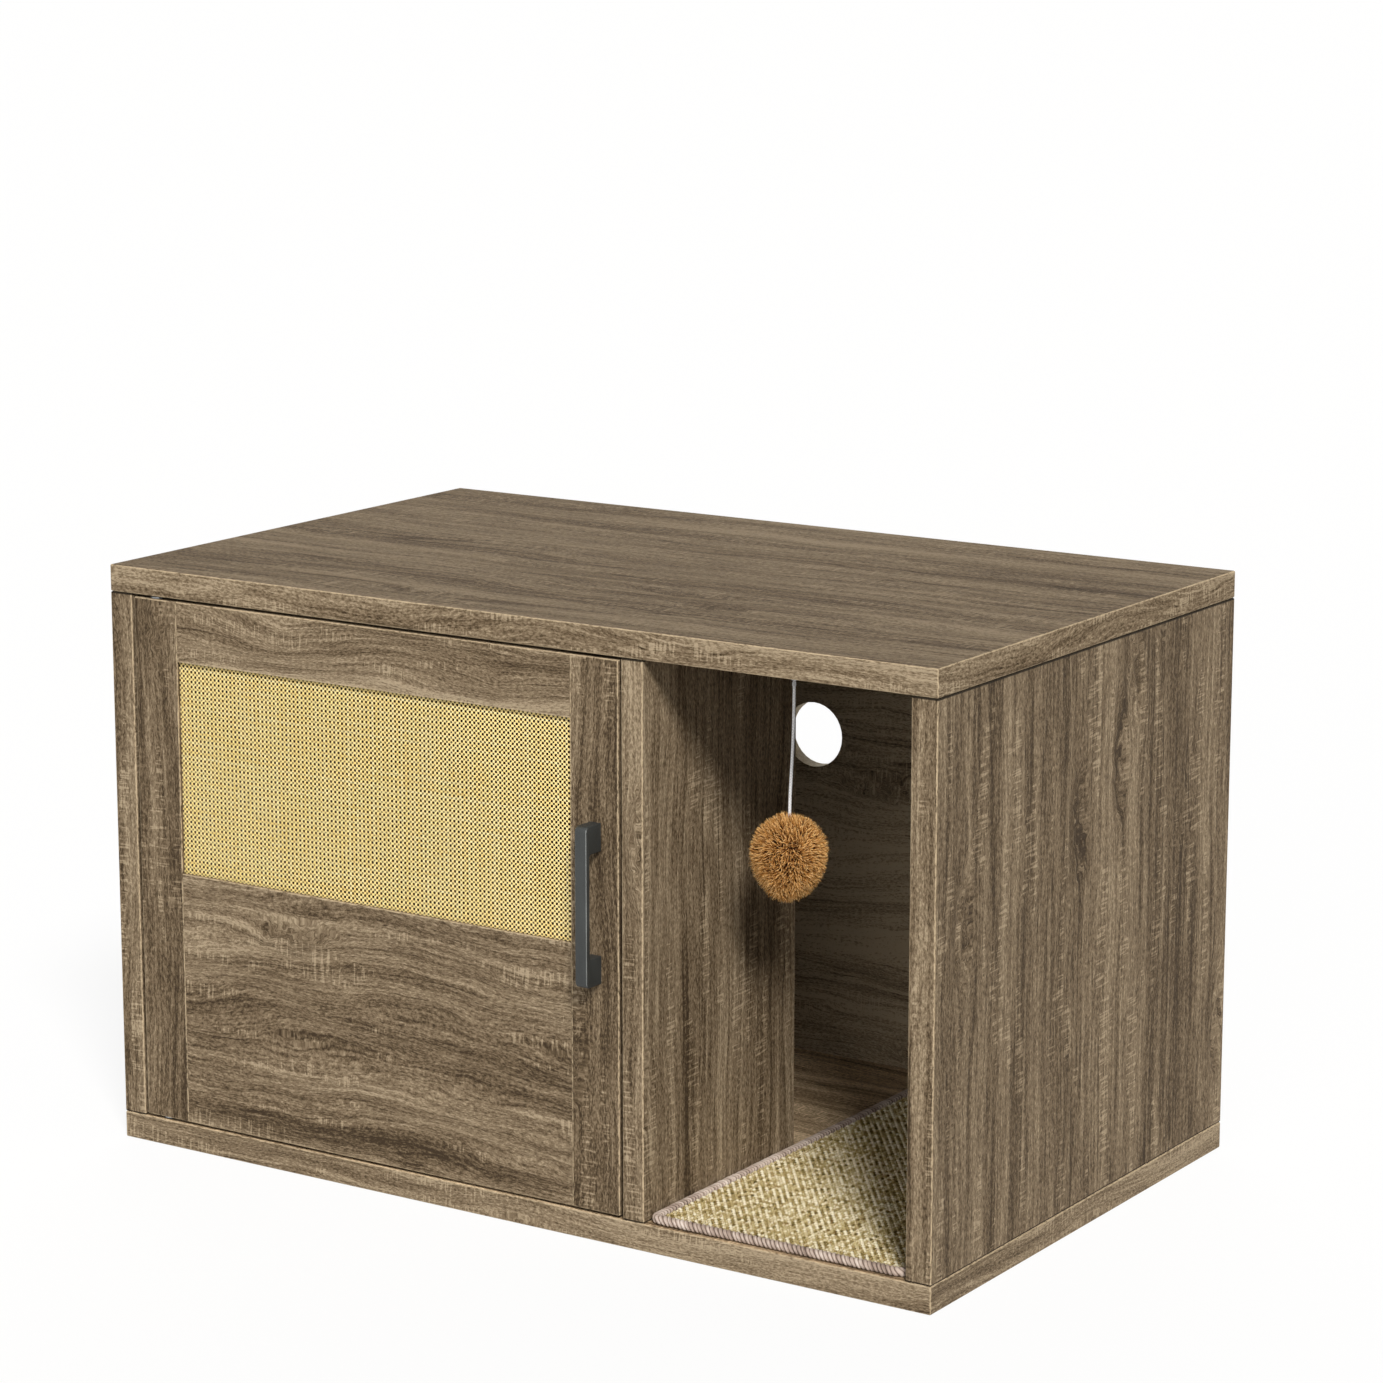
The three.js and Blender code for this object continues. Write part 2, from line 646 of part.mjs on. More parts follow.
function door() {
  const screws = rows(-HANDLE_LENGTH / 2, HANDLE_LENGTH / 2, HANDLE_FOOT / 2).map(handleScrew);
  const leftBores = [lowerHinge.doorBore, upperHinge.doorBore];
  const rightBores = [...screws, ...strikeScrews].map(({ bore }) => bore);

  // Each member is a part of the whole door's rounded outline, with finer edges at the joints.
  const outline = box([DOOR_LEFT, FRONT, DOOR_BOTTOM], [DOOR_RIGHT, DOOR_BACK, DOOR_TOP],
    DOOR_EDGE);
  const member = (low, high) => common(box(low, high, MEMBER_EDGE, 1), outline);

  // The rebate behind the window, cut in all four members.
  const rebate = box(
    [WINDOW_LEFT - REBATE, FRONT + RATTAN_SETBACK, WINDOW_BOTTOM - REBATE],
    [WINDOW_RIGHT + REBATE, DOOR_BACK + 1, WINDOW_TOP + REBATE]);
  const stile = (name, low, high, bores) => piece(name,
    cut(member([low, FRONT, DOOR_BOTTOM], [high, DOOR_BACK, DOOR_TOP]), [rebate, ...bores]), OAK);

  // A member between the stiles, with dowels at the given heights in both of its ends.
  const between = (name, low, high, heights) => {
    const stubs = [];
    for (const z of heights) {
      const left = dowel([WINDOW_LEFT, PIVOT_Y, z], TO_LEFT, DOOR_DOWEL_RADIUS, DOOR_DOWEL_STUB);
      const right = dowel([WINDOW_RIGHT, PIVOT_Y, z], TO_RIGHT, DOOR_DOWEL_RADIUS,
        DOOR_DOWEL_STUB);
      stubs.push(left.stub, right.stub);
      leftBores.push(left.bore);
      rightBores.push(right.bore);
    }
    const shape = member([WINDOW_LEFT + SEAM, FRONT, low], [WINDOW_RIGHT - SEAM, DOOR_BACK, high]);
    return piece(name, join(cut(shape, [rebate]), stubs), OAK);
  };
  const topRail = between('door_top_rail', WINDOW_TOP, DOOR_TOP,
    rows(WINDOW_TOP + REBATE, DOOR_TOP, DOOR_DOWEL_ROW));
  const lowerPanel = between('door_lower_panel', DOOR_BOTTOM, WINDOW_BOTTOM,
    rows(DOOR_BOTTOM, WINDOW_BOTTOM, PANEL_DOWEL_ROW));

  // The rattan sheet and its beads fill the rebate.
  const inLeft = WINDOW_LEFT - REBATE + FIT;
  const inRight = WINDOW_RIGHT + REBATE - FIT;
  const inBottom = WINDOW_BOTTOM - REBATE + FIT;
  const inTop = WINDOW_TOP + REBATE - FIT;
  const rattanFront = FRONT + RATTAN_SETBACK + FIT;
  const beadFront = rattanFront + RATTAN_THICK + FIT;
  const bead = (name, [x0, z0], [x1, z1]) => piece(name,
    box([x0, beadFront, z0], [x1, beadFront + BEAD_DEPTH, z1], BEAD_EDGE, 1), OAK);
  const beadWidth = REBATE - FIT;
  const clear = beadWidth + SEAM;

  return assembly(
    stile('door_hinge_stile', DOOR_LEFT, WINDOW_LEFT, leftBores),
    stile('door_handle_stile', WINDOW_RIGHT, DOOR_RIGHT, rightBores),
    topRail,
    lowerPanel,
    piece('rattan_sheet',
      box([inLeft, rattanFront, inBottom], [inRight, rattanFront + RATTAN_THICK, inTop]), RATTAN),
    bead('rattan_bead_top', [inLeft, inTop - beadWidth], [inRight, inTop]),
    bead('rattan_bead_bottom', [inLeft, inBottom], [inRight, inBottom + beadWidth]),
    bead('rattan_bead_left', [inLeft, inBottom + clear], [inLeft + beadWidth, inTop - clear]),
    bead('rattan_bead_right', [inRight - beadWidth, inBottom + clear], [inRight, inTop - clear]),
    piece('door_handle', cut(handle(), screws.map(({ bore }) => bore)), BLACK_METAL),
    ...numbered('handle_screw', screws),
    piece('upper_hinge_pin', upperHinge.pin, STEEL),
    piece('lower_hinge_pin', lowerHinge.pin, STEEL),
    piece('strike_plate', cut(
      box([catchMiddle - STRIKE_WIDTH / 2, DOOR_BACK + SEAM, CATCH_Z - STRIKE_HEIGHT / 2],
        [catchMiddle + STRIKE_WIDTH / 2, strikeBack, CATCH_Z + STRIKE_HEIGHT / 2]),
      strikeScrews.map(({ bore }) => bore)), ZINC),
    ...numbered('strike_screw', strikeScrews),
  );
}

// ---------------------------------------------------------------- scratch mat

// A rectangle with round corners, lying flat.
function matOutline(inset) {
  const halfWidth = (BAY_RIGHT - DIVIDER_RIGHT) / 2 - MAT_SIDE_GAP - inset;
  const halfLength = MAT_LENGTH / 2 - inset;
  const radius = MAT_CORNER - inset;
  const shape = new THREE.Shape();
  const quarter = Math.PI / 2;
  const corners = [[1, -1], [1, 1], [-1, 1], [-1, -1]];
  if (radius > 0) {
    corners.forEach(([x, y], i) => shape.absarc(
      x * (halfWidth - radius), y * (halfLength - radius), radius,
      (i - 1) * quarter, i * quarter));
  } else {
    corners.forEach(([x, y]) => shape.lineTo(x * halfWidth, y * halfLength));
  }
  return shape;
}

function slab(shape, height, edge) {
  const bevelled = edge > 0;
  return new THREE.ExtrudeGeometry(shape, {
    depth: height - 2 * edge,
    bevelEnabled: bevelled,
    bevelThickness: edge,
    bevelSize: edge,
    bevelOffset: -edge,
    bevelSegments: 2,
    curveSegments: 2,
  }).translate(0, 0, edge);
}

function mat() {
  const ring = matOutline(0);
  ring.holes.push(matOutline(MAT_BINDING));
  const inside = matOutline(MAT_BINDING + FIT);
  const group = assembly(
    piece('mat_binding', slab(ring, MAT_BINDING_HEIGHT, MAT_BINDING_EDGE), BINDING),
    piece('mat_backing', slab(inside, MAT_BACKING, 0), RUBBER),
    piece('sisal_mat',
      slab(inside, MAT_SISAL, 0).translate(0, 0, MAT_BACKING + FIT), SISAL),
  );
  group.position.set((DIVIDER_RIGHT + BAY_RIGHT) / 2, FRONT + MAT_FRONT_GAP + MAT_LENGTH / 2,
    FLOOR + FIT);
  return group;
}

// ---------------------------------------------------------------- toy

// Drawn with its origin at the centre of the eye's lowest wire, where the loop hangs.
function toy() {
  const loopTop = EYE_WIRE + FIT + CORD_RADIUS;
  const loopBottom = loopTop - 2 * LOOP_RADIUS;
  const loop = new THREE.TorusGeometry(LOOP_RADIUS, CORD_RADIUS, 8, 16)
    .rotateX(Math.PI / 2)
    .translate(0, 0, loopTop - LOOP_RADIUS);

  const cordTop = loopBottom - CORD_RADIUS - FIT;
  const line = new THREE.CatmullRomCurve3(
    CORD_POINTS.map(([x, y, z]) => new THREE.Vector3(x, y, cordTop + z)));
  const section = new THREE.Shape();
  section.absarc(0, 0, CORD_RADIUS, 0, 2 * Math.PI);
  const cord = new THREE.ExtrudeGeometry(section, {
    steps: Math.round(line.getLength() / CORD_STEP),
    curveSegments: CORD_SIDES / 2,
    extrudePath: line,
  });

  const [endX, endY, endZ] = CORD_POINTS.at(-1);
  const profile = [];
  const bands = 12;
  for (let i = 0; i <= bands; i += 1) {
    const angle = Math.PI * (i / bands - 0.5);
    const radius = i % bands ? POMPOM_WIDTH / 2 * Math.cos(angle) : 0;
    profile.push([radius, POMPOM_HEIGHT / 2 * Math.sin(angle)]);
  }
  const pompom = turned(
    [endX, endY, cordTop + endZ - FIT - POMPOM_HEIGHT / 2], UP, profile, 24);

  const group = assembly(
    piece('toy_cord_loop', loop, CORD),
    piece('toy_cord', cord, CORD),
    piece('pompom', pompom, POMPOM),
  );
  group.position.set(EYE_X, EYE_Y, CEILING - EYE_DROP - EYE_RADIUS);
  return group;
}

// ---------------------------------------------------------------- the cabinet

const cabinet = new THREE.Group();
cabinet.add(carcass(), door(), mat(), toy());

export default cabinet;
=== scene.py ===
import math
import random

import bmesh
import bpy
from mathutils import Matrix, Vector, noise


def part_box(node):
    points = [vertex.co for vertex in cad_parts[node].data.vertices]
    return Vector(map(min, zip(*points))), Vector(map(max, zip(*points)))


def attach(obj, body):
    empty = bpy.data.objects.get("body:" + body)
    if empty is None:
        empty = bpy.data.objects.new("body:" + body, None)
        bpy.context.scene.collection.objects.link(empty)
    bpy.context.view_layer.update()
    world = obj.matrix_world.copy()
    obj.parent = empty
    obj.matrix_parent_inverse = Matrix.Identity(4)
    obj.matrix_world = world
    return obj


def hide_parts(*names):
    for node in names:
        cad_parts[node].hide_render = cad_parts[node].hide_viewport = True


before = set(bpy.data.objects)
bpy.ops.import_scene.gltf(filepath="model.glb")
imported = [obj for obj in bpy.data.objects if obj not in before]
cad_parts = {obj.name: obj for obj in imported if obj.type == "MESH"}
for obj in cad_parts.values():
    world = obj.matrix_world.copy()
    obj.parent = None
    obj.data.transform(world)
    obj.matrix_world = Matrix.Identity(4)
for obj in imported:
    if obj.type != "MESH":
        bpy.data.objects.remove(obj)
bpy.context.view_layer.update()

MM = 0.001
TURN = 2 * math.pi
TOUCHING = 1e-6    # points nearer than this many metres are one

X = Vector((1, 0, 0))
Y = Vector((0, 1, 0))
Z = Vector((0, 0, 1))

dice = random.Random(7)
noise.seed_set(7)


# ---- camera

CAMERA_PLACE = Vector((2.0733, -3.1063, 1.2131))
CAMERA_YAW = math.radians(33.422)
CAMERA_PITCH = math.radians(11.788)
SENSOR_WIDTH = 36.0    # mm
FOCAL_LENGTH = 107.7   # mm


def set_camera():
    lens = bpy.data.cameras.new("camera")
    lens.sensor_width = SENSOR_WIDTH
    lens.lens = FOCAL_LENGTH
    camera = bpy.data.objects.new("camera", lens)
    bpy.context.collection.objects.link(camera)
    camera.location = CAMERA_PLACE
    camera.rotation_euler = (math.pi / 2 - CAMERA_PITCH, 0, CAMERA_YAW)
    bpy.context.scene.camera = camera


set_camera()


# ---- finishes: how they are written

class Amount:
    """A number that varies over a surface, so that sums on it read as sums."""

    def __init__(self, graph, socket):
        self.graph = graph
        self.socket = socket

    def __add__(self, other):
        return self.graph.sum("ADD", self, other)

    def __sub__(self, other):
        return self.graph.sum("SUBTRACT", self, other)

    def __rsub__(self, other):
        return self.graph.sum("SUBTRACT", other, self)

    def __mul__(self, other):
        return self.graph.sum("MULTIPLY", self, other)

    def __truediv__(self, other):
        return self.graph.sum("DIVIDE", self, other)

    __radd__ = __add__
    __rmul__ = __mul__

    def __abs__(self):
        return self.graph.sum("ABSOLUTE", self)

    def __pow__(self, power):
        return self.graph.sum("POWER", self, power)


def linear(shade):
    """The linear colour of a hex shade as it looks on a screen."""
    parts = [int(shade[i:i + 2], 16) / 255 for i in (0, 2, 4)]
    return [c / 12.92 if c <= 0.04045 else ((c + 0.055) / 1.055) ** 2.4 for c in parts] + [1.0]


class Graph:
    """The nodes of a material or of the world."""

    def __init__(self, tree):
        self.nodes = tree.nodes
        self.links = tree.links

    def join(self, value, socket):
        """Sets a socket to a number, or links it to what varies."""
        if isinstance(value, Amount):
            value = value.socket
        if isinstance(value, bpy.types.NodeSocket):
            self.links.new(value, socket)
        else:
            socket.default_value = value

    def node(self, kind, settings=(), inputs=(), out=0):
        """The output of a new node, with its settings made first and then its sockets."""
        made = self.nodes.new("ShaderNode" + kind)
        for setting, value in dict(settings).items():
            if setting == "stops":
                self.set_stops(made.color_ramp, value)
            else:
                setattr(made, setting, value)
        for key, value in dict(inputs).items():
            if isinstance(key, str):
                socket = next(s for s in made.inputs if s.name == key and s.enabled)
            else:
                socket = made.inputs[key]
            self.join(value, socket)
        socket = made.outputs[out]
        if not socket.enabled:
            socket = next(s for s in made.outputs if s.enabled)
        return Amount(self, socket) if socket.type == "VALUE" else socket

    @staticmethod
    def set_stops(ramp, stops):
        for place, shade in stops[len(ramp.elements):]:
            ramp.elements.new(place)
        for element, (place, shade) in zip(ramp.elements, stops):
            element.position = place
            element.color = linear(shade)

    def sum(self, operation, *values):
        return self.node("Math", {"operation": operation}, enumerate(values))

    def most(self, *amounts):
        result = amounts[0]
        for other in amounts[1:]:
            result = self.sum("MAXIMUM", result, other)
        return result

    def least(self, *amounts):
        result = amounts[0]
        for other in amounts[1:]:
            result = self.sum("MINIMUM", result, other)
        return result

    def seen(self):
        """1 for what the camera, a mirror or a clear piece shows, 0 for light that falls on things."""
        return self.most(*(self.node("LightPath", out=ray)
                           for ray in ("Is Camera Ray", "Is Glossy Ray", "Is Transmission Ray")))


class Finish(Graph):
    """A material, built up from nodes on its own surface shader."""

    def __init__(self, name, **surface):
        self.material = bpy.data.materials.new(name)
        self.material.use_nodes = True
        super().__init__(self.material.node_tree)
        self.surface = self.nodes["Principled BSDF"]
        self.set_surface(surface)

    def set_surface(self, values):
        for label, value in values.items():
            self.join(value, self.surface.inputs[label.replace("_", " ")])

    def place(self):
        """The surface's own place in millimetres, as three amounts."""
        point = self.node("TexCoord", out="Object")
        scaled = self.node("VectorMath", {"operation": "SCALE"}, {"Vector": point, "Scale": 1 / MM})
        return self.apart(scaled)

    def facing(self):
        """The way that the surface faces, as three amounts."""
        return self.apart(self.node("TexCoord", out="Normal"))

    def unwrapped(self):
        """The surface's UVs, as two amounts."""
        return self.apart(self.node("TexCoord", out="UV"))[:2]

    def apart(self, vector):
        return [self.node("SeparateXYZ", inputs={0: vector}, out=i) for i in range(3)]

    def vector(self, x=0.0, y=0.0, z=0.0):
        return self.node("CombineXYZ", inputs={0: x, 1: y, 2: z})

    def cloud(self, x, y=0.0, z=0.0, detail=2.0, rough=0.5):
        """Noise about 0.5, at one feature for each unit of its place."""
        return self.node("TexNoise", {"noise_dimensions": "3D"},
                         {"Vector": self.vector(x, y, z), "Scale": 1.0, "Detail": detail,
                          "Roughness": rough})

    def lot(self, x, y=0.0, z=0.0):
        """A random number from 0 to 1 for each whole place."""
        places = [self.sum("FLOOR", v) for v in (x, y, z)]
        return self.node("TexWhiteNoise", {"noise_dimensions": "3D"},
                         {"Vector": self.vector(*places)}, out="Value")

    def step(self, amount, low, high):
        """0 below low, 1 above high, and smooth between them."""
        return self.node("MapRange", {"interpolation_type": "SMOOTHSTEP"},
                         {"Value": amount, "From Min": low, "From Max": high})

    def blend(self, share, first, second, way="MIX"):
        """One colour laid over another."""
        first, second = (linear(c) if isinstance(c, str) else c for c in (first, second))
        return self.node("Mix", {"data_type": "RGBA", "blend_type": way},
                         {"Factor": share, "A": first, "B": second}, out=2)

    def ramp(self, amount, *stops):
        return self.node("ValToRGB", {"stops": stops}, {"Fac": amount})

    def relief(self, height, depth):
        """Raises the surface by up to depth metres where height is 1."""
        self.set_surface({"Normal": self.node("Bump", inputs={
            "Height": height, "Distance": depth, "Strength": 1.0})})


# ---- finishes: wood

OAK_SHADES = (
    (0.10, "403427"),
    (0.30, "5f503d"),
    (0.50, "796853"),
    (0.70, "907f67"),
    (0.92, "ad9b81"),
)
SQUARE_ON = 0.7     # a normal with this much along an axis belongs to a face square to it
# The colour of the painted highlight along the boards' edges
HIGHLIGHT_CREAM = "cbb696"
HIGHLIGHT_REACH = (-1.6, -0.5)    # mm past a board's faces, from plain to the full painted highlight
# The painted shade where a board's end meets the next board
SEAM_SHADE_COLOUR = "120e09"
SEAM_SHADE_REACH = (-2.2, -1.2)    # mm past a board's ends, from plain to the full painted seam shade
# Bare board on a hole's wall, made paler as painted light
LIT_BARE_BOARD = ((0.3, "c9b48f"), (0.7, "f0e4cc"))


def figure_lines(finish, along, across, seed, wander, knots):
    """The place across a board's figure, which wanders and breaks into swirls at the knots, and how
    deep in a knot it is."""
    drift = finish.cloud(along / 270, across / 90, seed, 1.0) - 0.5
    ripple = finish.cloud(along / 45, across / 18, seed, 2.0) - 0.5
    heart = finish.node("TexVoronoi", {"feature": "F1", "voronoi_dimensions": "2D"},
                        {"Vector": finish.vector(along / 520, across / 150), "Scale": 1.0,
                         "Randomness": 1.0}, out="Distance")
    knot = finish.step(heart, 0.15, 0.02)
    curl = finish.cloud(along / 14, across / 9, seed, 1.0) - 0.5
    line = (across + drift * (wander * 1.6) + ripple * (wander * 0.2)
            + knot * (14.0 * knots) + curl * knot * (30.0 * knots))
    return line, knot


def saw_marks(finish, along, across, seed):
    """Short light marks across the figure, in patches along it."""
    patch = finish.step(finish.cloud(along / 130, across / 18, seed + 2, 1.0), 0.57, 0.62)
    marks = finish.step(finish.cloud((along - across * 0.04) / 2.3, across / 26, seed, 1.0),
                        0.54, 0.62)
    return patch * marks


def past_faces(place, node, dowels):
    """How far a point lies past a board's faces along each axis, in mm: 0 on them, negative inside.
    Dowels stick out of the board by some millimetres along each axis."""
    low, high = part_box(node)
    low, high = low / MM + Vector(dowels), high / MM - Vector(dowels)
    return [abs(v - (a + b) / 2) - (b - a) / 2 for v, a, b in zip(place, low, high)]


def arris_highlight(finish, past, along, across, seed):
    """A painted highlight along every edge of a board, where two pairs of its faces are near, in
    patches.
    """
    second = past[0] + past[1] + past[2] - finish.most(*past) - finish.least(*past)
    patchiness = finish.cloud(along / 5, across / 5, seed, 3.0)
    return finish.step(second, *HIGHLIGHT_REACH) * finish.step(patchiness, 0.3, 0.6)


def oak(name, node, grain, thick, seed, tone=0.5, wander=30.0, knots=1.0, upper=1.0, gloss=0.06,
        dowels=(0, 0, 0), shaded_seams=False, bore=None):
    """Oak-print laminate on one board: grain is the axis that it runs along, and thick the board's
    thin way. The figure wanders by some millimetres, and upper scales the upper side's colour:
    painted shade below 1, painted light above 1. Every edge gets a painted highlight, and the
    ends can take painted shade where they meet other boards. A bore is a hole through it: its
    middle along and across, and its radius, in mm; its wall is bare board, made paler as painted
    light."""
    finish = Finish(name, Specular_IOR_Level=gloss)
    run, deep = "xyz".index(grain), "xyz".index(thick)
    wide = 3 - run - deep
    place = finish.place()
    facing = finish.facing()

    # On the ends the banding's grain turns along the edge, and the edges are as wide as the board
    # is thick. Each seed takes its own stretch of the figure.
    end = finish.sum("GREATER_THAN", abs(facing[run]), SQUARE_ON)
    face = finish.sum("GREATER_THAN", abs(facing[deep]), SQUARE_ON)
    along = place[run] * (1 - end) + place[wide] * end + seed * 731.0
    across = place[wide] * face + place[deep] * (1 - face) + seed * 173.0
    line, knot = figure_lines(finish, along, across, seed, wander, knots)

    broad = finish.cloud(line / 36, along / 700, seed, 2.0) - 0.5
    medium = finish.cloud(line / 8, along / 380, seed, 2.0) - 0.5
    fine = finish.cloud(line / 2.4, along / 70, seed, 3.0, 0.65) - 0.5
    grit = finish.cloud(line / 1.3, along / 4, seed, 2.0, 0.7) - 0.5
    growth = abs(finish.cloud(line / 24, along / 900, seed + 4, 1.0) - 0.5)
    ring = finish.step(growth, 0.014, 0.0) * finish.step(broad, 0.12, -0.06)
    pores = finish.step(finish.cloud(along / 9, line / 0.8, seed, 1.0), 0.60, 0.70)
    shade = (tone + broad * 0.85 + medium * 0.75 + fine * 1.05 + grit * 1.45
             - ring * 0.26 - knot * (0.12 * knots) - pores * 0.10
             + saw_marks(finish, along, across, seed) * 0.30)

    past = past_faces(place, node, dowels)
    # A painted highlight along every edge, in patches.
    arris_light = arris_highlight(finish, past, along, across, seed)
    colour = finish.blend(arris_light * 0.75, finish.ramp(shade, *OAK_SHADES), HIGHLIGHT_CREAM)
    # Painted shade at the ends, where they meet other boards.
    if shaded_seams:
        colour = finish.blend(finish.step(past[run], *SEAM_SHADE_REACH) * 0.95, colour, SEAM_SHADE_COLOUR)
    # The upper side's colour is scaled: painted shade below 1, painted light above 1.
    if upper != 1.0:
        painted_upper = finish.blend(1.0, colour, (upper, upper * 0.97, upper * 0.93, 1.0), "MULTIPLY")
        colour = finish.blend(finish.step(facing[2], 0.8, 0.95), colour, painted_upper)
    # The hole's wall is bare board, made paler as painted light.
    if bore:
        sideways, upward = (place[k] - middle for k, middle in zip((run, wide), bore))
        away = (sideways * sideways + upward * upward) ** 0.5
        lit_wall = finish.step(away, bore[2] + 0.4, bore[2] + 0.1)
        colour = finish.blend(lit_wall, colour, finish.ramp(grit + 0.5, *LIT_BARE_BOARD))
    finish.set_surface({"Base Color": colour, "Roughness": 0.56 + pores * 0.12 + fine * 0.25})
    finish.relief(shade - pores * 0.5, 0.0003)
    return finish.material


# ---- finishes: the other pieces

def cane(name, run, first, pitch):
    """Split cane, which runs along one axis. Its strands are spaced from a first place, in mm, and
    have painted shade at their rims, next to the holes."""
    finish = Finish(name, Specular_IOR_Level=0.35)
    place = finish.place()
    along, across = place[run], place[2 - run]
    turn = (across - first) / pitch
    strand = finish.lot(turn)
    half = CANE_WIDTH / MM / 2
    # Painted shade at each strand's rims.
    rim = finish.step(abs(finish.sum("FRACT", turn) - 0.5) * pitch, half * 0.82, half)
    fibres = finish.cloud(along / 12, across / 0.3, strand * 40.0, 2.0, 0.6) - 0.5
    stain = finish.cloud(along / 60, across / 5, 3.0, 2.0) - 0.5
    tone = 0.6 + fibres * 0.7 + (strand - 0.5) * 0.12 + stain * 0.2 - rim * 0.5
    colour = finish.ramp(tone, (0.0, "6b3208"), (0.28, "f3b75c"), (0.5, "ffe28e"), (0.8, "fff2bd"))
    finish.set_surface({"Base Color": colour, "Roughness": 0.5 + fibres * 0.3})
    finish.relief(fibres, 0.00012)
    return finish.material


def sisal(name, run, first, pitch, pale):
    """Twisted sisal yarn along one axis, with painted shade where it dips between the others. The
    weave has a first place and a pitch, in mm, along each axis."""
    finish = Finish(name, Roughness=0.85, Specular_IOR_Level=0.2)
    place = finish.place()
    along, across = place[run], place[1 - run]
    strand, crossing = ((v - first[k]) / pitch[k] for v, k in ((across, 1 - run), (along, run)))
    yarn = finish.lot(strand, 5.0)
    stitch = finish.lot(strand, crossing, 9.0)
    twist = finish.cloud((along + across * 1.1) / 0.8, (along - across) / 5, yarn * 30.0, 2.0,
                         0.7) - 0.5
    wash = finish.cloud(along / 45, across / 30, 0.0, 3.0) - 0.5
    # Painted shade where the yarn dips low between the others.
    depth = finish.step(place[2], *SISAL_SHADE_HEIGHTS)
    tone = pale + twist * 1.1 + (stitch - 0.5) * 0.42 + (yarn - 0.5) * 0.1 + wash * 0.25
    colour = finish.ramp(tone * (depth * 0.8 + 0.2), (0.05, "2b2210"), (0.28, "85713f"),
                         (0.48, "c4b07a"), (0.72, "f3ead0"))
    rust = finish.step(finish.cloud(along / 2.6, across / 2.2, 4.0, 1.0), 0.60, 0.70)
    colour = finish.blend(rust * 0.6, colour, "8a5c38")
    finish.set_surface({"Base Color": colour})
    finish.relief(twist, 0.0004)
    return finish.material


def wrapped_yarn():
    """The yarn wound round the mat's edge: UVs count the turns, and the way round each."""
    finish = Finish("wrapped_yarn", Roughness=0.8, Specular_IOR_Level=0.2)
    turns, around = finish.unwrapped()
    turn = finish.lot(turns + 0.5)
    # Painted shade in the groove between each turn and the next.
    groove_shade = abs(finish.sum("FRACT", turns) - 0.5) * 2
    fibres = finish.cloud(turns * 6.0, around * 2.5, turn * 20.0, 2.0, 0.6) - 0.5
    wash = finish.cloud(turns / 7, 0.5, 0.0, 3.0) - 0.5
    tone = 0.64 + (turn - 0.5) * 0.25 + fibres * 0.7 + wash * 0.5 - groove_shade ** 3 * 0.5
    colour = finish.ramp(tone, (0.12, "4d3f37"), (0.38, "8f7c70"), (0.6, "bba89b"), (0.85, "e0d3c8"))
    finish.set_surface({"Base Color": colour})
    finish.relief(fibres, 0.0004)
    return finish.material


def pile():
    """Caramel yarn ends: UVs run from the root to the tip, with a lot for each end. They darken
    towards the root as painted shade.
    """
    finish = Finish("brown_pile", Roughness=0.75, Specular_IOR_Level=0.3)
    length, lot = finish.unwrapped()
    # Darker towards the root: painted shade deep in the pile.
    tone = length * 0.85 + (lot - 0.5) * 0.5
    colour = finish.ramp(tone, (0.2, "301a08"), (0.48, "7a481b"), (0.7, "c98f47"), (1.0, "f8cc8a"))
    finish.set_surface({"Base Color": colour})
    return finish.material


def painted_metal():
    """Charcoal paint, with a painted highlight along the long arrises."""
    finish = Finish("black_metal", Metallic=0.2)
    x, y, z = finish.place()
    grain = finish.cloud(x / 0.4, y / 0.4, z / 0.4, 2.0) - 0.5
    sheen = finish.cloud(x / 30, y / 30, z / 45, 2.0) - 0.5
    nx, ny, _ = finish.facing()
    # A painted highlight on the facets between the front and the sides, in patches.
    bar_highlight = finish.step(abs(nx * ny), 0.34, 0.47) * finish.step(sheen, -0.3, 0.1)
    colour = finish.ramp(0.5 + grain * 0.8 + sheen * 0.8, (0.2, "292b2b"), (0.8, "3f4241"))
    finish.set_surface({"Base Color": finish.blend(bar_highlight * 0.6, colour, "a6a8a6"),
                        "Roughness": 0.45 + sheen * 0.3})
    finish.relief(grain, 0.00003)
    return finish.material


def braid():
    """White braided cord: UVs give the distance along in millimetres, and the turn round it."""
    finish = Finish("white_cord", Roughness=0.7, IOR=1.45)
    finish.set_surface({"Sheen Weight": 0.1})
    along, around = finish.unwrapped()
    one_way = finish.sum("SINE", (along / 2.6 + around * 2.0) * TURN)
    other_way = finish.sum("SINE", (along / 2.6 - around * 2.0) * TURN)
    plait = finish.most(one_way, other_way) * 0.5 + 0.5
    # The cord is greyer where the plait dips: painted shade in its grooves.
    colour = finish.ramp(plait, (0.0, "cfd0d3"), (0.6, "efeff0"))
    finish.set_surface({"Base Color": colour})
    finish.relief(plait, 0.0003)
    return finish.material


def speckled(name, dark, light, size, depth, **surface):
    """A plain finish with a fine grain, of a size in mm and a depth in metres: painted or cast
    metal, plastic or rubber."""
    finish = Finish(name, **surface)
    x, y, z = (v / size for v in finish.place())
    grain = finish.cloud(x, y, z, 3.0, 0.6)
    patchiness = finish.cloud(x / 40, y / 40, z / 40, 2.0)
    tone = 0.5 + (grain - 0.5) * 0.6 + (patchiness - 0.5) * 0.8
    roughness = surface["Roughness"]
    finish.set_surface({"Base Color": finish.ramp(tone, (0.2, dark), (0.8, light)),
                        "Roughness": roughness + (patchiness - 0.5) * 0.25})
    finish.relief(grain, depth)
    return finish.material


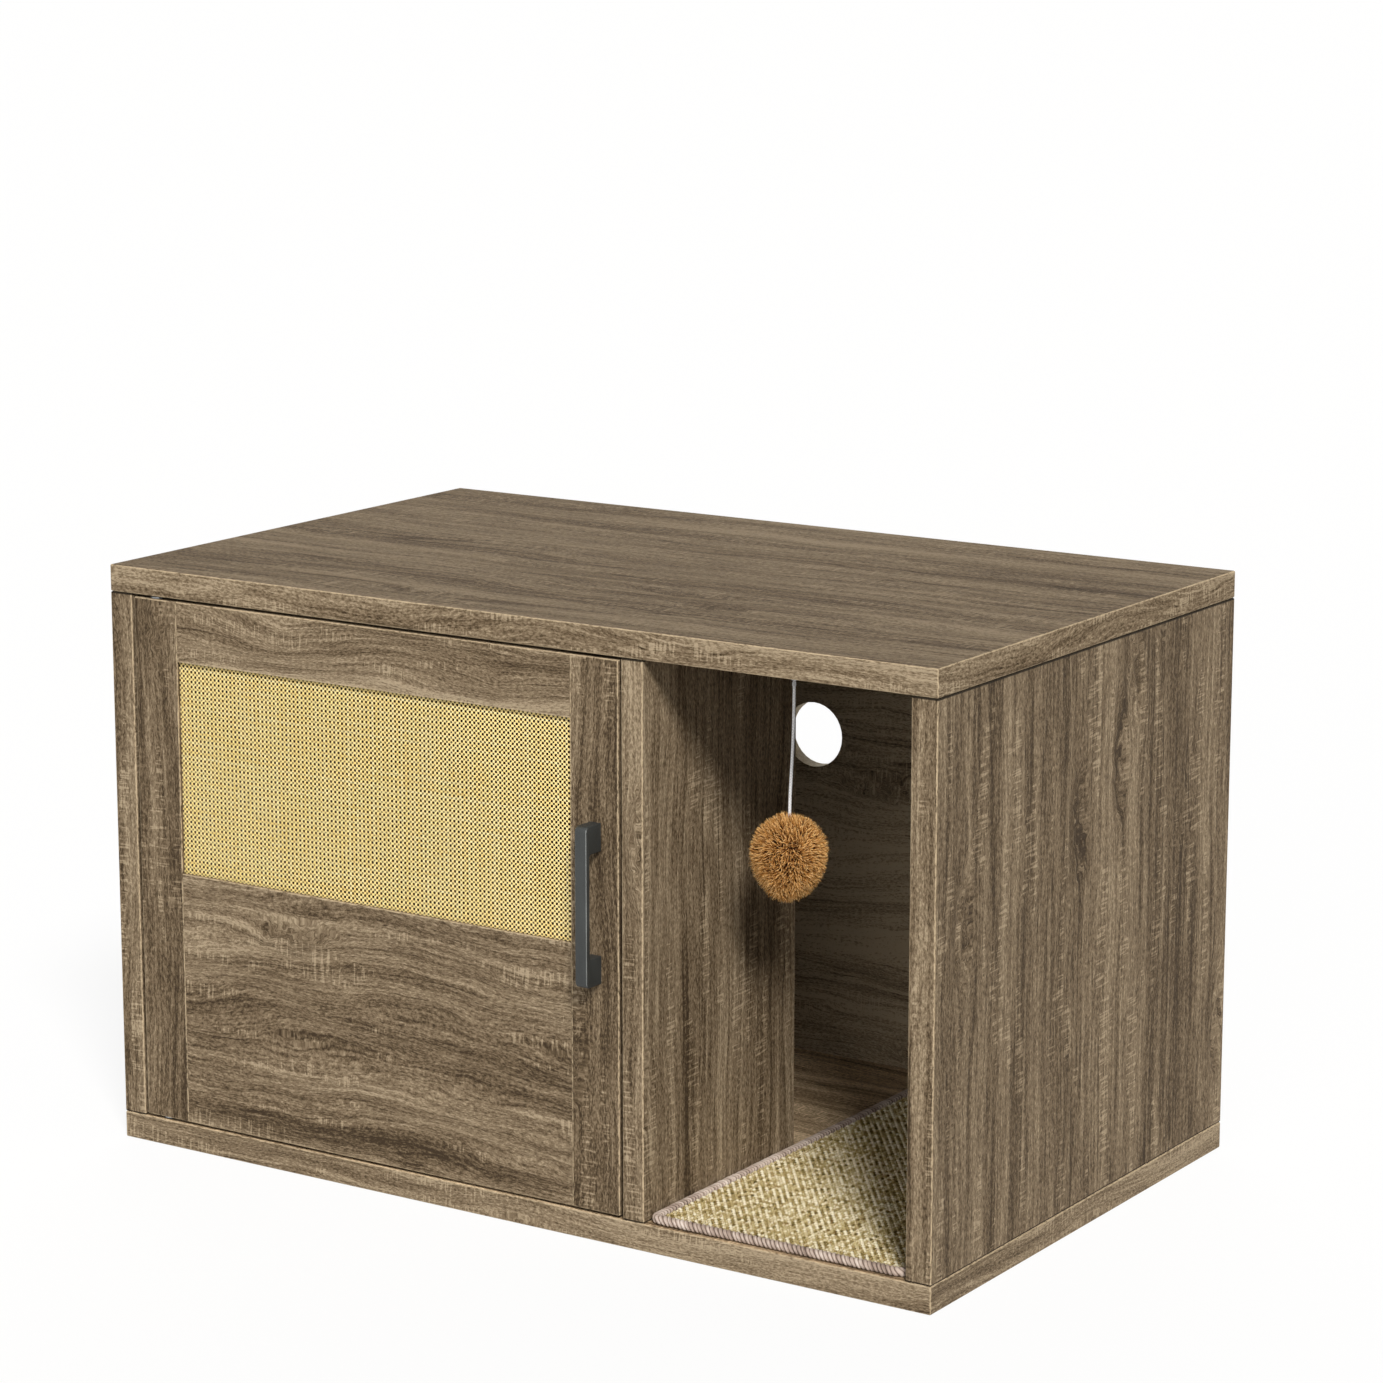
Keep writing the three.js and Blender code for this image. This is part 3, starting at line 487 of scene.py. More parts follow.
def brushed(name, dark, light, run, **surface):
    """Metal with fine lines along one axis."""
    finish = Finish(name, **surface)
    place = [v / 0.25 for v in finish.place()]
    place[run] = place[run] / 60
    lines = finish.cloud(*place, 2.0, 0.6)
    finish.set_surface({"Base Color": finish.ramp(lines, (0.3, dark), (0.7, light)),
                        "Roughness": surface["Roughness"] + (lines - 0.5) * 0.3})
    finish.relief(lines, 0.00003)
    return finish.material


# ---- modelling helpers

def finished(name, shape, body, material, replaces=(), sharp=None):
    """Makes a bmesh into a piece of the cabinet that rides on one of its bodies."""
    mesh = bpy.data.meshes.new(name)
    shape.to_mesh(mesh)
    shape.free()
    mesh.shade_smooth()
    if sharp is not None:
        mesh.set_sharp_from_angle(angle=math.radians(sharp))
    mesh.materials.append(material)
    piece = bpy.data.objects.new(name, mesh)
    bpy.context.collection.objects.link(piece)
    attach(piece, body)
    if replaces:
        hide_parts(*replaces)
    return piece


def turned(shape, profile, place, steps):
    """Spins a profile of radii and heights round the Z axis of a place."""
    verts = [shape.verts.new(place @ Vector((radius, 0, height))) for radius, height in profile]
    edges = [shape.edges.new(pair) for pair in zip(verts, verts[1:])]
    bmesh.ops.spin(shape, geom=verts + edges, cent=place.translation, axis=place.to_3x3() @ Z,
                   angle=TURN, steps=steps, use_merge=True)
    bmesh.ops.remove_doubles(shape, verts=shape.verts, dist=TOUCHING)
    bmesh.ops.recalc_face_normals(shape, faces=shape.faces)


def verts_of(made):
    return [v for v in made if isinstance(v, bmesh.types.BMVert)]


def edges_of(made):
    return [e for e in made if isinstance(e, bmesh.types.BMEdge)]


def ring(shape, points):
    """A closed loop of edges through some points."""
    verts = [shape.verts.new(p) for p in points]
    for a, b in zip(verts, verts[1:] + verts[:1]):
        shape.edges.new((a, b))
    return verts


def loop_edges(verts):
    inside = set(verts)
    return [e for e in {e for v in verts for e in v.link_edges} if set(e.verts) <= inside]


def drawn_out(shape, verts, edges):
    """The next ring of a sweep, still in the place of the last."""
    made = bmesh.ops.extrude_edge_only(shape, edges=edges)["geom"]
    edges = edges_of(made)
    follow = {}
    for v in verts_of(made):
        partner = next(e.other_vert(v) for e in v.link_edges if e not in edges
                       and (e.other_vert(v).co - v.co).length < 1e-9
                       and e.other_vert(v) in verts)
        follow[partner] = v
    return [follow[v] for v in verts], edges


def swept(shape, section, stations, closed=False):
    """Sweeps a section through stations. Each station is a function that places one point of it."""
    verts = ring(shape, [stations[0](p) for p in section])
    edges = loop_edges(verts)
    first, rings = (verts, edges), [verts]
    for station in stations[1:]:
        verts, edges = drawn_out(shape, verts, edges)
        for v, p in zip(verts, section):
            v.co = station(p)
        rings.append(verts)
    if closed:
        bmesh.ops.bridge_loops(shape, edges=first[1] + edges)
    else:
        bmesh.ops.contextual_create(shape, geom=first[1])
        bmesh.ops.contextual_create(shape, geom=edges)
    bmesh.ops.recalc_face_normals(shape, faces=shape.faces)
    return rings


def circle(radius, sides):
    return [(radius * math.cos(TURN * i / sides), radius * math.sin(TURN * i / sides))
            for i in range(sides)]


def along_path(path):
    """Stations along the points of a path, without twist."""
    stations = []
    side = None
    for i, point in enumerate(path):
        heading = (path[min(i + 1, len(path) - 1)] - path[max(i - 1, 0)]).normalized()
        side = (side or (X if abs(heading.x) < 0.9 else Y))
        side = (side - heading * side.dot(heading)).normalized()
        other = heading.cross(side)
        stations.append(lambda p, o=point, s=side, t=other: o + s * p[0] + t * p[1])
    return stations


def unwrap_rings(shape, rings, distances, closed=False):
    """UVs for a sweep: the distance of each ring, and the share of a turn round it."""
    along, around = {}, {}
    for verts, distance in zip(rings, distances):
        for i, v in enumerate(verts):
            along[v] = distance
            around[v] = i / len(verts)
    layer = shape.loops.layers.uv.verify()
    last = distances[-1] + (distances[1] - distances[0]) if closed else None
    for face in shape.faces:
        turns = [around[v] for v in face.verts]
        runs = [along[v] for v in face.verts]
        for corner in face.loops:
            turn, run = around[corner.vert], along[corner.vert]
            if max(turns) - min(turns) > 0.5 and turn < 0.5:
                turn += 1
            if closed and max(runs) - min(runs) > last / 2 and run < last / 2:
                run += last
            corner[layer].uv = (run, turn)


def between(a, b, share):
    return a + (b - a) * share


# ---- toy: cord, loop and pompom

CORD_DIAMETER = 2.8 * MM
CORD_SIDES = 12
CORD_TOP = Vector((240.7, -170, 500)) * MM
# The cord's line, from its top at the loop to the top of the pompom.
CORD_POINTS = [Vector(p) * MM for p in (
    (0, 0, 0),
    (0, 0, -14),
    (-0.4, 0, -36),
    (-1.2, 0, -58),
    (-2.4, 0, -80),
    (-3.5, 0, -99),
    (-4, 0, -115.5),
)]
POMPOM_WIDTH = 69 * MM
POMPOM_HEIGHT = 78 * MM
POMPOM_GAP = 0.3 * MM                                # below the cord's end
POMPOM_HALF = Vector((POMPOM_WIDTH, POMPOM_WIDTH, POMPOM_HEIGHT)) / 2
POMPOM_MIDDLE = CORD_TOP + CORD_POINTS[-1] - Z * (POMPOM_GAP + POMPOM_HEIGHT / 2)
HEART = 0.72                                         # the painted-shade heart's share of the ball
YARN_ENDS = 9600
YARN_SHOWS = (10.0, 15.0)                            # mm that an end is long
YARN_RADIUS = (0.28, 0.44)                           # mm
GOLDEN_ANGLE = math.pi * (3 - math.sqrt(5))          # spreads points evenly over a ball
PARTING = Vector((0.48, -0.8, 0.36)).normalized()    # the yarn ends lie away from it
THREAD_DIAMETER = 0.6 * MM
THREAD_TURNS = 5
THREAD_SPAN = (1.0 * MM, 4.0 * MM)                   # below the cord's top


def smooth_line(points, steps):
    """A smooth curve through some points, with a few steps between each two."""
    line = []
    for i in range(len(points) - 1):
        before = points[max(i - 1, 0)]
        a, b = points[i], points[i + 1]
        after = points[min(i + 2, len(points) - 1)]
        for step in range(steps):
            t = step / steps
            line.append(0.5 * (2 * a + (b - before) * t
                               + (2 * before - 5 * a + 4 * b - after) * t ** 2
                               + (3 * a - before - 3 * b + after) * t ** 3))
    return line + [points[-1]]


def cord_piece(name, path, diameter, material, replaces=()):
    shape = bmesh.new()
    rings = swept(shape, circle(diameter / 2, CORD_SIDES), along_path(path))
    distances = [0.0]
    for a, b in zip(path, path[1:]):
        distances.append(distances[-1] + (b - a).length / MM)
    unwrap_rings(shape, rings, distances)
    return finished(name, shape, "toy", material, replaces, sharp=60)


def thread_binding(material):
    """Close turns of thin thread round the cord's top end."""
    radius = CORD_DIAMETER / 2 + THREAD_DIAMETER * 0.35
    steps = 16 * THREAD_TURNS
    path = []
    for i in range(steps + 1):
        angle = TURN * THREAD_TURNS * i / steps
        path.append(CORD_TOP + Vector((radius * math.cos(angle), radius * math.sin(angle),
                                       -between(*THREAD_SPAN, i / steps))))
    return cord_piece("thread_binding", path, THREAD_DIAMETER, material)


def cord_loop(material):
    """The ring of cord that hangs in the screw eye."""
    low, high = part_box("toy_cord_loop")
    middle = (low + high) / 2
    radius = (high.x - low.x) / 2 - CORD_DIAMETER / 2
    shape = bmesh.new()
    steps = 40
    stations = []
    for i in range(steps):
        out = Vector((math.cos(TURN * i / steps), 0, math.sin(TURN * i / steps)))
        stations.append(lambda p, o=out: middle + o * (radius + p[0]) + Y * p[1])
    rings = swept(shape, circle(CORD_DIAMETER / 2, CORD_SIDES), stations, closed=True)
    unwrap_rings(shape, rings, [TURN * radius / MM * i / steps for i in range(steps)], closed=True)
    return finished("cord_loop", shape, "toy_loop", material, ["toy_cord_loop"])


def shaded_heart(shape):
    """The ball that the yarn ends stand on, dark with painted shade."""
    layer = shape.loops.layers.uv.verify()
    made = bmesh.ops.create_icosphere(shape, subdivisions=4, radius=1.0)
    for v in made["verts"]:
        v.co = Vector(a * b for a, b in zip(v.co, POMPOM_HALF)) * HEART
    for face in shape.faces:
        for corner in face.loops:
            corner[layer].uv = (0.05, 0.5)


def yarn_end():
    """One cut end of yarn, a unit long and thick, with UVs from its root to its tip."""
    end = bmesh.new()
    steps = ((0.0, 0.9), (0.45, 1.0), (0.8, 0.85), (1.0, 0.25))    # how far along, and how thick
    stations = [lambda p, t=t, w=w: Vector((p[0] * w, p[1] * w, t)) for t, w in steps]
    rings = swept(end, circle(1.0, 3), stations)
    unwrap_rings(end, rings, [t for t, w in steps])
    return end


def lie_of_end(i):
    """Where one end of yarn lies on the ball: spread evenly, then jittered and combed."""
    height = 1 - (2 * i + 1) / YARN_ENDS
    angle = i * GOLDEN_ANGLE + dice.uniform(-0.05, 0.05)
    flat = math.sqrt(1 - height * height)
    out = Vector((flat * math.cos(angle), flat * math.sin(angle), height))
    away = (out - PARTING * out.dot(PARTING)) * max(out.dot(PARTING), 0.2)
    comb = noise.noise_vector(out * 2.4) * 0.6 + away * 0.7
    lean = (out + comb + Vector(dice.gauss(0, 0.2) for _ in range(3))).normalized()
    length = dice.uniform(*YARN_SHOWS) * MM

    # The ball is a little lumpy, and narrower low down.
    surface = Vector(a * b for a, b in zip(out, POMPOM_HALF)) * (1 + 0.06 * noise.noise(out * 1.7))
    surface.x *= 1 - 0.10 * max(-height, 0)
    tip = surface * dice.uniform(0.91, 1.02)
    radius = dice.uniform(*YARN_RADIUS) * MM
    turn = lean.to_track_quat("Z", "Y").to_matrix().to_4x4()
    spin = Matrix.Rotation(dice.uniform(0, TURN), 4, "Z")
    scale = Matrix.Diagonal((radius, radius, length, 1))
    return Matrix.Translation(tip - lean * length) @ turn @ spin @ scale


def pompom(material):
    """A ball of cut yarn: a heart dark with painted shade, and several thousand bent ends on it."""
    shape = bmesh.new()
    shaded_heart(shape)
    end = yarn_end()
    template = bpy.data.meshes.new("yarn_end")
    for i in range(YARN_ENDS):
        lie = lie_of_end(i)
        bend = dice.uniform(2.0, 11.0)
        lot = dice.random()
        one = end.copy()
        for v in one.verts:
            v.co.x += bend * v.co.z ** 2
        layer = one.loops.layers.uv.active
        for face in one.faces:
            for corner in face.loops:
                corner[layer].uv.y = lot
        bmesh.ops.transform(one, verts=one.verts, matrix=lie)
        one.to_mesh(template)
        one.free()
        shape.from_mesh(template)
    end.free()
    bmesh.ops.translate(shape, verts=shape.verts, vec=POMPOM_MIDDLE)
    bpy.data.meshes.remove(template)
    return finished("yarn_pompom", shape, "toy", material, ["pompom"])


def hang_toy():
    white = braid()
    path = smooth_line([CORD_TOP + p for p in CORD_POINTS], 4)
    inside = between(path[-1], POMPOM_MIDDLE, 0.5)
    path += [inside, POMPOM_MIDDLE]
    cord = cord_piece("hanging_cord", path, CORD_DIAMETER, white, ["toy_cord"])
    thread = thread_binding(white)
    loop = cord_loop(white)
    ball = pompom(pile())
    length = sum((b - a).length for a, b in zip(path, path[1:]))


# ---- toy: screw eye

EYE_WIRE = 1.1 * MM         # the wire's radius
EYE_OPENS = 0.285           # where the eye's wire starts, in turns
EYE_CLOSES = 0.95           # how far round it goes, in turns
EYE_NECK = 1.3 * MM         # radii from here on
EYE_COLLAR = 2.6 * MM
EYE_CREST = 1.6 * MM
EYE_ROOT = 1.25 * MM
EYE_THREAD = 0.9 * MM       # from crest to crest


def screw_eye():
    """A bent wire eye with a collar under the top board and a threaded shank in it."""
    low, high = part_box("toy_screw_eye")
    radius = (high.y - low.y) / 2 - EYE_WIRE
    middle = Vector(((low.x + high.x) / 2, (low.y + high.y) / 2, low.z + EYE_WIRE + radius))
    shape = bmesh.new()
    steps = 36
    stations = []
    for i in range(steps + 1):
        angle = TURN * (EYE_OPENS + i / steps * EYE_CLOSES)
        out = Vector((0, math.cos(angle), math.sin(angle)))
        stations.append(lambda p, o=out: middle + o * (radius + p[0]) + X * p[1])
    swept(shape, circle(EYE_WIRE, 12), stations)

    # From the eye's top through the collar and the thread to the tip.
    foot, tip = middle.z + radius - 0.4 * MM, high.z
    profile = [(0, foot), (EYE_NECK, foot), (EYE_NECK, tip - 16.5 * MM),
               (EYE_COLLAR, tip - 16 * MM), (EYE_COLLAR, tip - 14.8 * MM),
               (EYE_CREST, tip - 14.6 * MM)]
    thread = tip - 14.2 * MM
    while thread < tip - 2 * MM:
        profile += [(EYE_CREST, thread), (EYE_ROOT, thread + EYE_THREAD / 2)]
        thread += EYE_THREAD
    profile += [(1.0 * MM, tip - 1 * MM), (0, tip)]
    turned(shape, profile, Matrix.Translation((middle.x, middle.y, 0)), 14)
    return shape


# ---- door: rattan and handle

CANE_PITCH = 4.6 * MM    # before it is fitted to the sheet
CANE_WIDTH = 2.3 * MM
CANE_THICK = 0.22 * MM
CANE_LIFT = 0.12 * MM
CANE_SHOULDER = 0.86
CROSSING_SHARE = 0.21    # of a pitch, that a strand runs level to each side of a crossing


def woven(section, count, crossings, pitch, run_pitch, lift, sway, first):
    """Strands along X that pass over and under the others, spaced along Y and facing Z. They rise
    by lift and swing aside by sway at each crossing, and first says which pass over first."""
    shape = bmesh.new()
    for phase in (0, 1):
        strand = bmesh.new()
        stations = []
        for j in range(crossings):
            sign = 1 if (j + phase + first) % 2 else -1
            for side in (-1, 1):
                x = (j + 0.5 + CROSSING_SHARE * side) * run_pitch
                shift = Vector((x, -sway * side * sign, lift * sign))
                stations.append(lambda p, s=shift: s + Vector((0, p[0], p[1])))
        stations.insert(0, lambda p, s=stations[0]: Vector((0, *s(p).yz)))
        stations.append(lambda p, s=stations[-1]: Vector((crossings * run_pitch, *s(p).yz)))
        swept(strand, section, stations)
        template = bpy.data.meshes.new("strand")
        bmesh.ops.translate(strand, verts=strand.verts, vec=Y * (0.5 + phase) * pitch)
        for i in range(phase, count, 2):
            strand.to_mesh(template)
            shape.from_mesh(template)
            bmesh.ops.translate(strand, verts=strand.verts, vec=Y * 2 * pitch)
        strand.free()
        bpy.data.meshes.remove(template)
    return shape


def flat_section(width, thick, shoulder):
    """A strand's section, as thick as it gets over the shoulder's share of its width."""
    half, edge = width / 2, width / 2 * shoulder
    return [(-half, 0), (-edge, -thick / 2), (edge, -thick / 2), (half, 0), (edge, thick / 2),
            (-edge, thick / 2)]


def laid(shape, axes, corner):
    """Turns a weave from X, Y and Z to three other axes, and puts its first corner in its place."""
    turn = Matrix(axes).transposed().to_4x4()
    bmesh.ops.transform(shape, verts=shape.verts, matrix=Matrix.Translation(corner) @ turn)


def rattan():
    """The open cane weave behind the door's window: uprights, and crossings through them."""
    low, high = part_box("rattan_sheet")
    columns = round((high.x - low.x) / CANE_PITCH)
    rows = round((high.z - low.z) / CANE_PITCH)
    across = (high.x - low.x) / columns
    upward = (high.z - low.z) / rows
    section = flat_section(CANE_WIDTH, CANE_THICK, CANE_SHOULDER)
    middle = (low.y + high.y) / 2

    crossings = woven(section, rows, columns, upward, across, CANE_LIFT, 0, 0)
    laid(crossings, (X, Z, -Y), (low.x, middle, low.z))
    finished("cane_crossings", crossings, "door",
             cane("cane_across", 0, low.z / MM, upward / MM), ["rattan_sheet"], sharp=25)

    uprights = woven(section, columns, rows, across, upward, CANE_LIFT, 0, 1)
    laid(uprights, (Z, -X, -Y), (high.x, middle, low.z))
    finished("cane_uprights", uprights, "door",
             cane("cane_upright", 2, low.x / MM, across / MM), ["rattan_sheet"], sharp=25)


HANDLE_REACH = 22.4 * MM     # from the door's face to the bar's front
HANDLE_BAR = 5.4 * MM
HANDLE_FOOT = 25 * MM
HANDLE_BENDS = ((5 * MM, 8), (3 * MM, 5))    # the outer and the inner bends' size, and their segments
HANDLE_ARRIS = 0.9 * MM


def bevelled(shape, geom, size, segments, affect):
    bmesh.ops.bevel(shape, geom=geom, offset=size, segments=segments, profile=0.5, material=-1,
                    affect=affect)


def handle():
    """A flat bar bent out from two feet, with rounded corners and softened edges."""
    low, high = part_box("door_handle")
    shape = bmesh.new()
    inner = high.y - HANDLE_REACH + HANDLE_BAR
    outline = [(high.y, low.z), (low.y, low.z), (low.y, high.z), (high.y, high.z),
               (high.y, high.z - HANDLE_FOOT), (inner, high.z - HANDLE_FOOT),
               (inner, low.z + HANDLE_FOOT), (high.y, low.z + HANDLE_FOOT)]
    verts = ring(shape, [Vector((low.x, y, z)) for y, z in outline])
    corners = (verts[1:3], verts[5:7])
    for bent, (size, segments) in zip(corners, HANDLE_BENDS):
        bevelled(shape, bent, size, segments, "VERTICES")
    face = bmesh.ops.contextual_create(shape, geom=shape.edges[:])["faces"]
    made = bmesh.ops.extrude_face_region(shape, geom=face)["geom"]
    bmesh.ops.translate(shape, verts=verts_of(made), vec=X * (high.x - low.x))
    bmesh.ops.recalc_face_normals(shape, faces=shape.faces)
    arrises = [e for e in shape.edges if e.calc_face_angle(0) > 1.2
               and abs(e.verts[0].co.x - e.verts[1].co.x) < TOUCHING
               and min(v.co.y for v in e.verts) < high.y - 0.1 * MM]
    bevelled(shape, arrises, HANDLE_ARRIS, 3, "EDGES")
    return shape


# ---- fixings with a cross recess

FACE = 0.97              # a head's flat face, as a share of its radius
CROSS_REACH = 0.62       # the cross's arms, as a share of the head's radius
CROSS_TAPER = 0.8        # the cross's floor, as a share of its mouth
CROSS_TURN = 0.5         # radians
HEAD_EDGE = 0.15 * MM    # how deep the chamfer round a head's face goes
HEAD_ROUND = 0.1 * MM    # the rounding at a head's underside
LOCK_ARM = 1.1 * MM      # half of a cam lock's cross arm across
LOCK_CROSS = 2.2 * MM    # its depth
SCREW_ARM = 0.38 * MM
SCREW_CROSS = 1.1 * MM
SCREW_CREST = 1.5 * MM   # radii
SCREW_ROOT = 1.15 * MM
SCREW_NECK = 1.45 * MM
SCREW_THREAD = 1.1 * MM  # from crest to crest
SCREW_POINT = 1.8 * MM


def flat_way(point):
    """The way from the middle of a head to a point of it, along its face."""
    return Vector((point.x, point.y, 0)).normalized()


def cross_head(place, radius, depth, arm, recess, dome=0.0):
    """A round head with a cross recess in its face, as deep as the piece is long. The face is at a
    place, and looks along its Z axis."""
    shape = bmesh.new()
    made = bmesh.ops.create_grid(shape, x_segments=3, y_segments=3, size=1.0)["verts"]
    for v in made:
        for k in (0, 1):
            inner = abs(v.co[k]) < 0.5
            v.co[k] = math.copysign(arm if inner else radius * CROSS_REACH, v.co[k])
    cross = [f for f in shape.faces
             if min(abs(c) for c in f.calc_center_median()[:2]) < TOUCHING]
    rim = [e for e in shape.edges if e.is_boundary]
    grown = bmesh.ops.extrude_edge_only(shape, edges=rim)["geom"]
    for v in verts_of(grown):
        v.co = flat_way(v.co) * radius * FACE - Z * dome
    rim = bmesh.ops.subdivide_edges(shape, edges=edges_of(grown), cuts=1)["geom_inner"]
    for v in verts_of(rim):
        v.co = flat_way(v.co) * radius * FACE - Z * dome
    sunk = bmesh.ops.extrude_face_region(shape, geom=cross)["geom"]
    bmesh.ops.delete(shape, geom=cross, context="FACES_ONLY")
    for v in verts_of(sunk):
        v.co = Vector((v.co.x * CROSS_TAPER, v.co.y * CROSS_TAPER, -recess))
    rim = [e for e in shape.edges if e.is_boundary]
    for drop, size in ((HEAD_EDGE, 1.0), (depth - HEAD_ROUND, 1.0), (depth, FACE)):
        grown = bmesh.ops.extrude_edge_only(shape, edges=rim)["geom"]
        rim = edges_of(grown)
        for v in verts_of(grown):
            v.co = flat_way(v.co) * radius * size - Z * (dome + drop)
    bmesh.ops.contextual_create(shape, geom=rim)
    bmesh.ops.recalc_face_normals(shape, faces=shape.faces)
    turn = Matrix.Rotation(CROSS_TURN, 4, "Z")
    bmesh.ops.transform(shape, verts=shape.verts, matrix=place @ turn)
    return shape


def outer_face(node, out):
    """The place in the middle of a node's outer face, with Z outwards, and how long the node is."""
    low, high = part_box(node)
    centre = (low + high) / 2
    k = max(range(3), key=lambda axis: abs(out[axis]))
    centre[k] = high[k] if out[k] > 0 else low[k]
    turn = out.to_track_quat("Z", "Y").to_matrix().to_4x4()
    return Matrix.Translation(centre) @ turn, high[k] - low[k]


def cam_locks(material):
    """The round locks that draw the boards together, one at each bolt."""
    opens = {"left": X, "right": -X, "divider": -X}
    for node in sorted(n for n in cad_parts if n.startswith("cam_lock_")):
        low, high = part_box(node)
        place, length = outer_face(node, opens[node.split("_")[2]])
        shape = cross_head(place, (high.y - low.y) / 2, length, LOCK_ARM, LOCK_CROSS)
        finished(node.replace("cam_lock", "lock"), shape, "cabinet", material, [node],
                 sharp=35)


def screw(node, out, body, material, head_radius, head_height, dome):
    """A screw with a cross recess, lying where the plain one does."""
    place, length = outer_face(node, out)
    shape = cross_head(place, head_radius, head_height, SCREW_ARM, SCREW_CROSS, dome)
    neck = head_height - HEAD_ROUND
    shank = [(0.0, -neck), (SCREW_NECK, -neck)]
    thread = head_height + 0.6 * MM
    while thread < length - 2.2 * MM:
        shank += [(SCREW_ROOT, -thread), (SCREW_CREST, -thread - 0.5 * MM)]
        thread += SCREW_THREAD
    shank += [(1.1 * MM, SCREW_POINT - length), (0.0, -length)]
    turned(shape, shank, place, 12)
    return finished(node + "_threaded", shape, body, material, [node], sharp=35)


# ---- scratch mat

BINDING_WIDTH = 9.5 * MM
BINDING_CORNER = 7.25 * MM         # the radius of its middle line
BINDING_FULL = 0.75                # 1 for an oval section, and less for a squarer one
BINDING_TURN = 4.4 * MM            # along the edge, from one turn of the yarn to the next
BINDING_SIDES = 12
CORNER_STEPS = 8
BINDING_CROWN = (0.80, 1.0, 0.98)  # how full the yarn is, at each step of a turn
BINDING_SLANT = 0.9                # of a turn, that the yarn leans
SISAL_PITCH = (3.61, 4.70)         # mm across and lengthways, before they are fitted to the mat
SISAL_SHADE_HEIGHTS = (28.8, 30.8)        # mm above the floor, from full painted shade to none
SISAL_INSET = 0.3 * MM
SISAL_RISE = 0.25 * MM             # the weave's middle, above the plain mat's
SISAL_SHOULDER = 0.55
WEFT_SIZE = (3.8 * MM, 1.7 * MM)   # wide and thick
WEFT_MOVES = (0.85 * MM, 0.5 * MM)    # up, and aside, at a crossing
WEFT_TONE = 0.64
WARP_SIZE = (2.9 * MM, 1.6 * MM)
WARP_MOVES = (0.8 * MM, -0.3 * MM)
WARP_TONE = 0.43


def rounded_track(low, high, radius, step):
    """Points round a rectangle with round corners, anticlockwise from above, and the way out of
    the rectangle at each."""
    corners = [(high.x, low.y, -0.25), (high.x, high.y, 0.0), (low.x, high.y, 0.25),
               (low.x, low.y, 0.5)]
    arcs = []
    for x, y, start in corners:
        cx = x + (radius if x == low.x else -radius)
        cy = y + (radius if y == low.y else -radius)
        arcs.append([(Vector((cx, cy, 0)), TURN * (start + 0.25 * t / CORNER_STEPS))
                     for t in range(CORNER_STEPS + 1)])
    points = [(c + Vector((math.cos(a), math.sin(a), 0)) * radius, a) for arc in arcs for c, a in arc]
    lengths = [(points[(i + 1) % len(points)][0] - p).length for i, (p, _) in enumerate(points)]
    whole = sum(lengths)
    count = round(whole / step)
    track, i, walked = [], 0, 0.0
    for k in range(count):
        target = whole * k / count
        while walked + lengths[i] < target:
            walked += lengths[i]
            i += 1
        share = (target - walked) / lengths[i]
        (p, a), (q, b) = points[i], points[(i + 1) % len(points)]
        b += TURN if b < a - 0.1 else 0
        angle = between(a, b, share)
        track.append((p.lerp(q, share), Vector((math.cos(angle), math.sin(angle), 0))))
    return track


def binding(material):
    """Yarn wound slantwise round the mat's edge."""
    low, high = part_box("mat_binding")
    width, height = BINDING_WIDTH, high.z - low.z
    steps_a_turn = len(BINDING_CROWN)
    step = BINDING_TURN / steps_a_turn
    inset = Vector((width / 2, width / 2, 0))
    track = rounded_track(low + inset, high - inset, BINDING_CORNER, step)
    count = len(track) // steps_a_turn * steps_a_turn
    section = [(math.copysign(abs(c) ** BINDING_FULL, c) * width / 2,
                math.copysign(abs(s) ** BINDING_FULL, s) * height / 2)
               for c, s in circle(1.0, BINDING_SIDES)]
    middle = (low.z + high.z) / 2
    swell = [dice.uniform(0.93, 1.0) for _ in range(count // steps_a_turn)]

    def station(p, k):
        size = BINDING_CROWN[k % steps_a_turn] * swell[k // steps_a_turn]
        slant = (p[0] / width - p[1] / height) * BINDING_SLANT * BINDING_TURN
        place = k + slant / step
        whole = math.floor(place)
        share = place - whole
        (start, out), (end, after) = track[whole % count], track[(whole + 1) % count]
        out = out.lerp(after, share)
        return start.lerp(end, share) + out * p[0] * size + Z * (middle + p[1] * size)

    shape = bmesh.new()
    stations = [lambda p, k=k: station(p, k) for k in range(count)]
    rings = swept(shape, section, stations, closed=True)
    unwrap_rings(shape, rings, [k / steps_a_turn for k in range(count)], closed=True)
    return finished("yarn_binding", shape, "mat", material, ["mat_binding"])


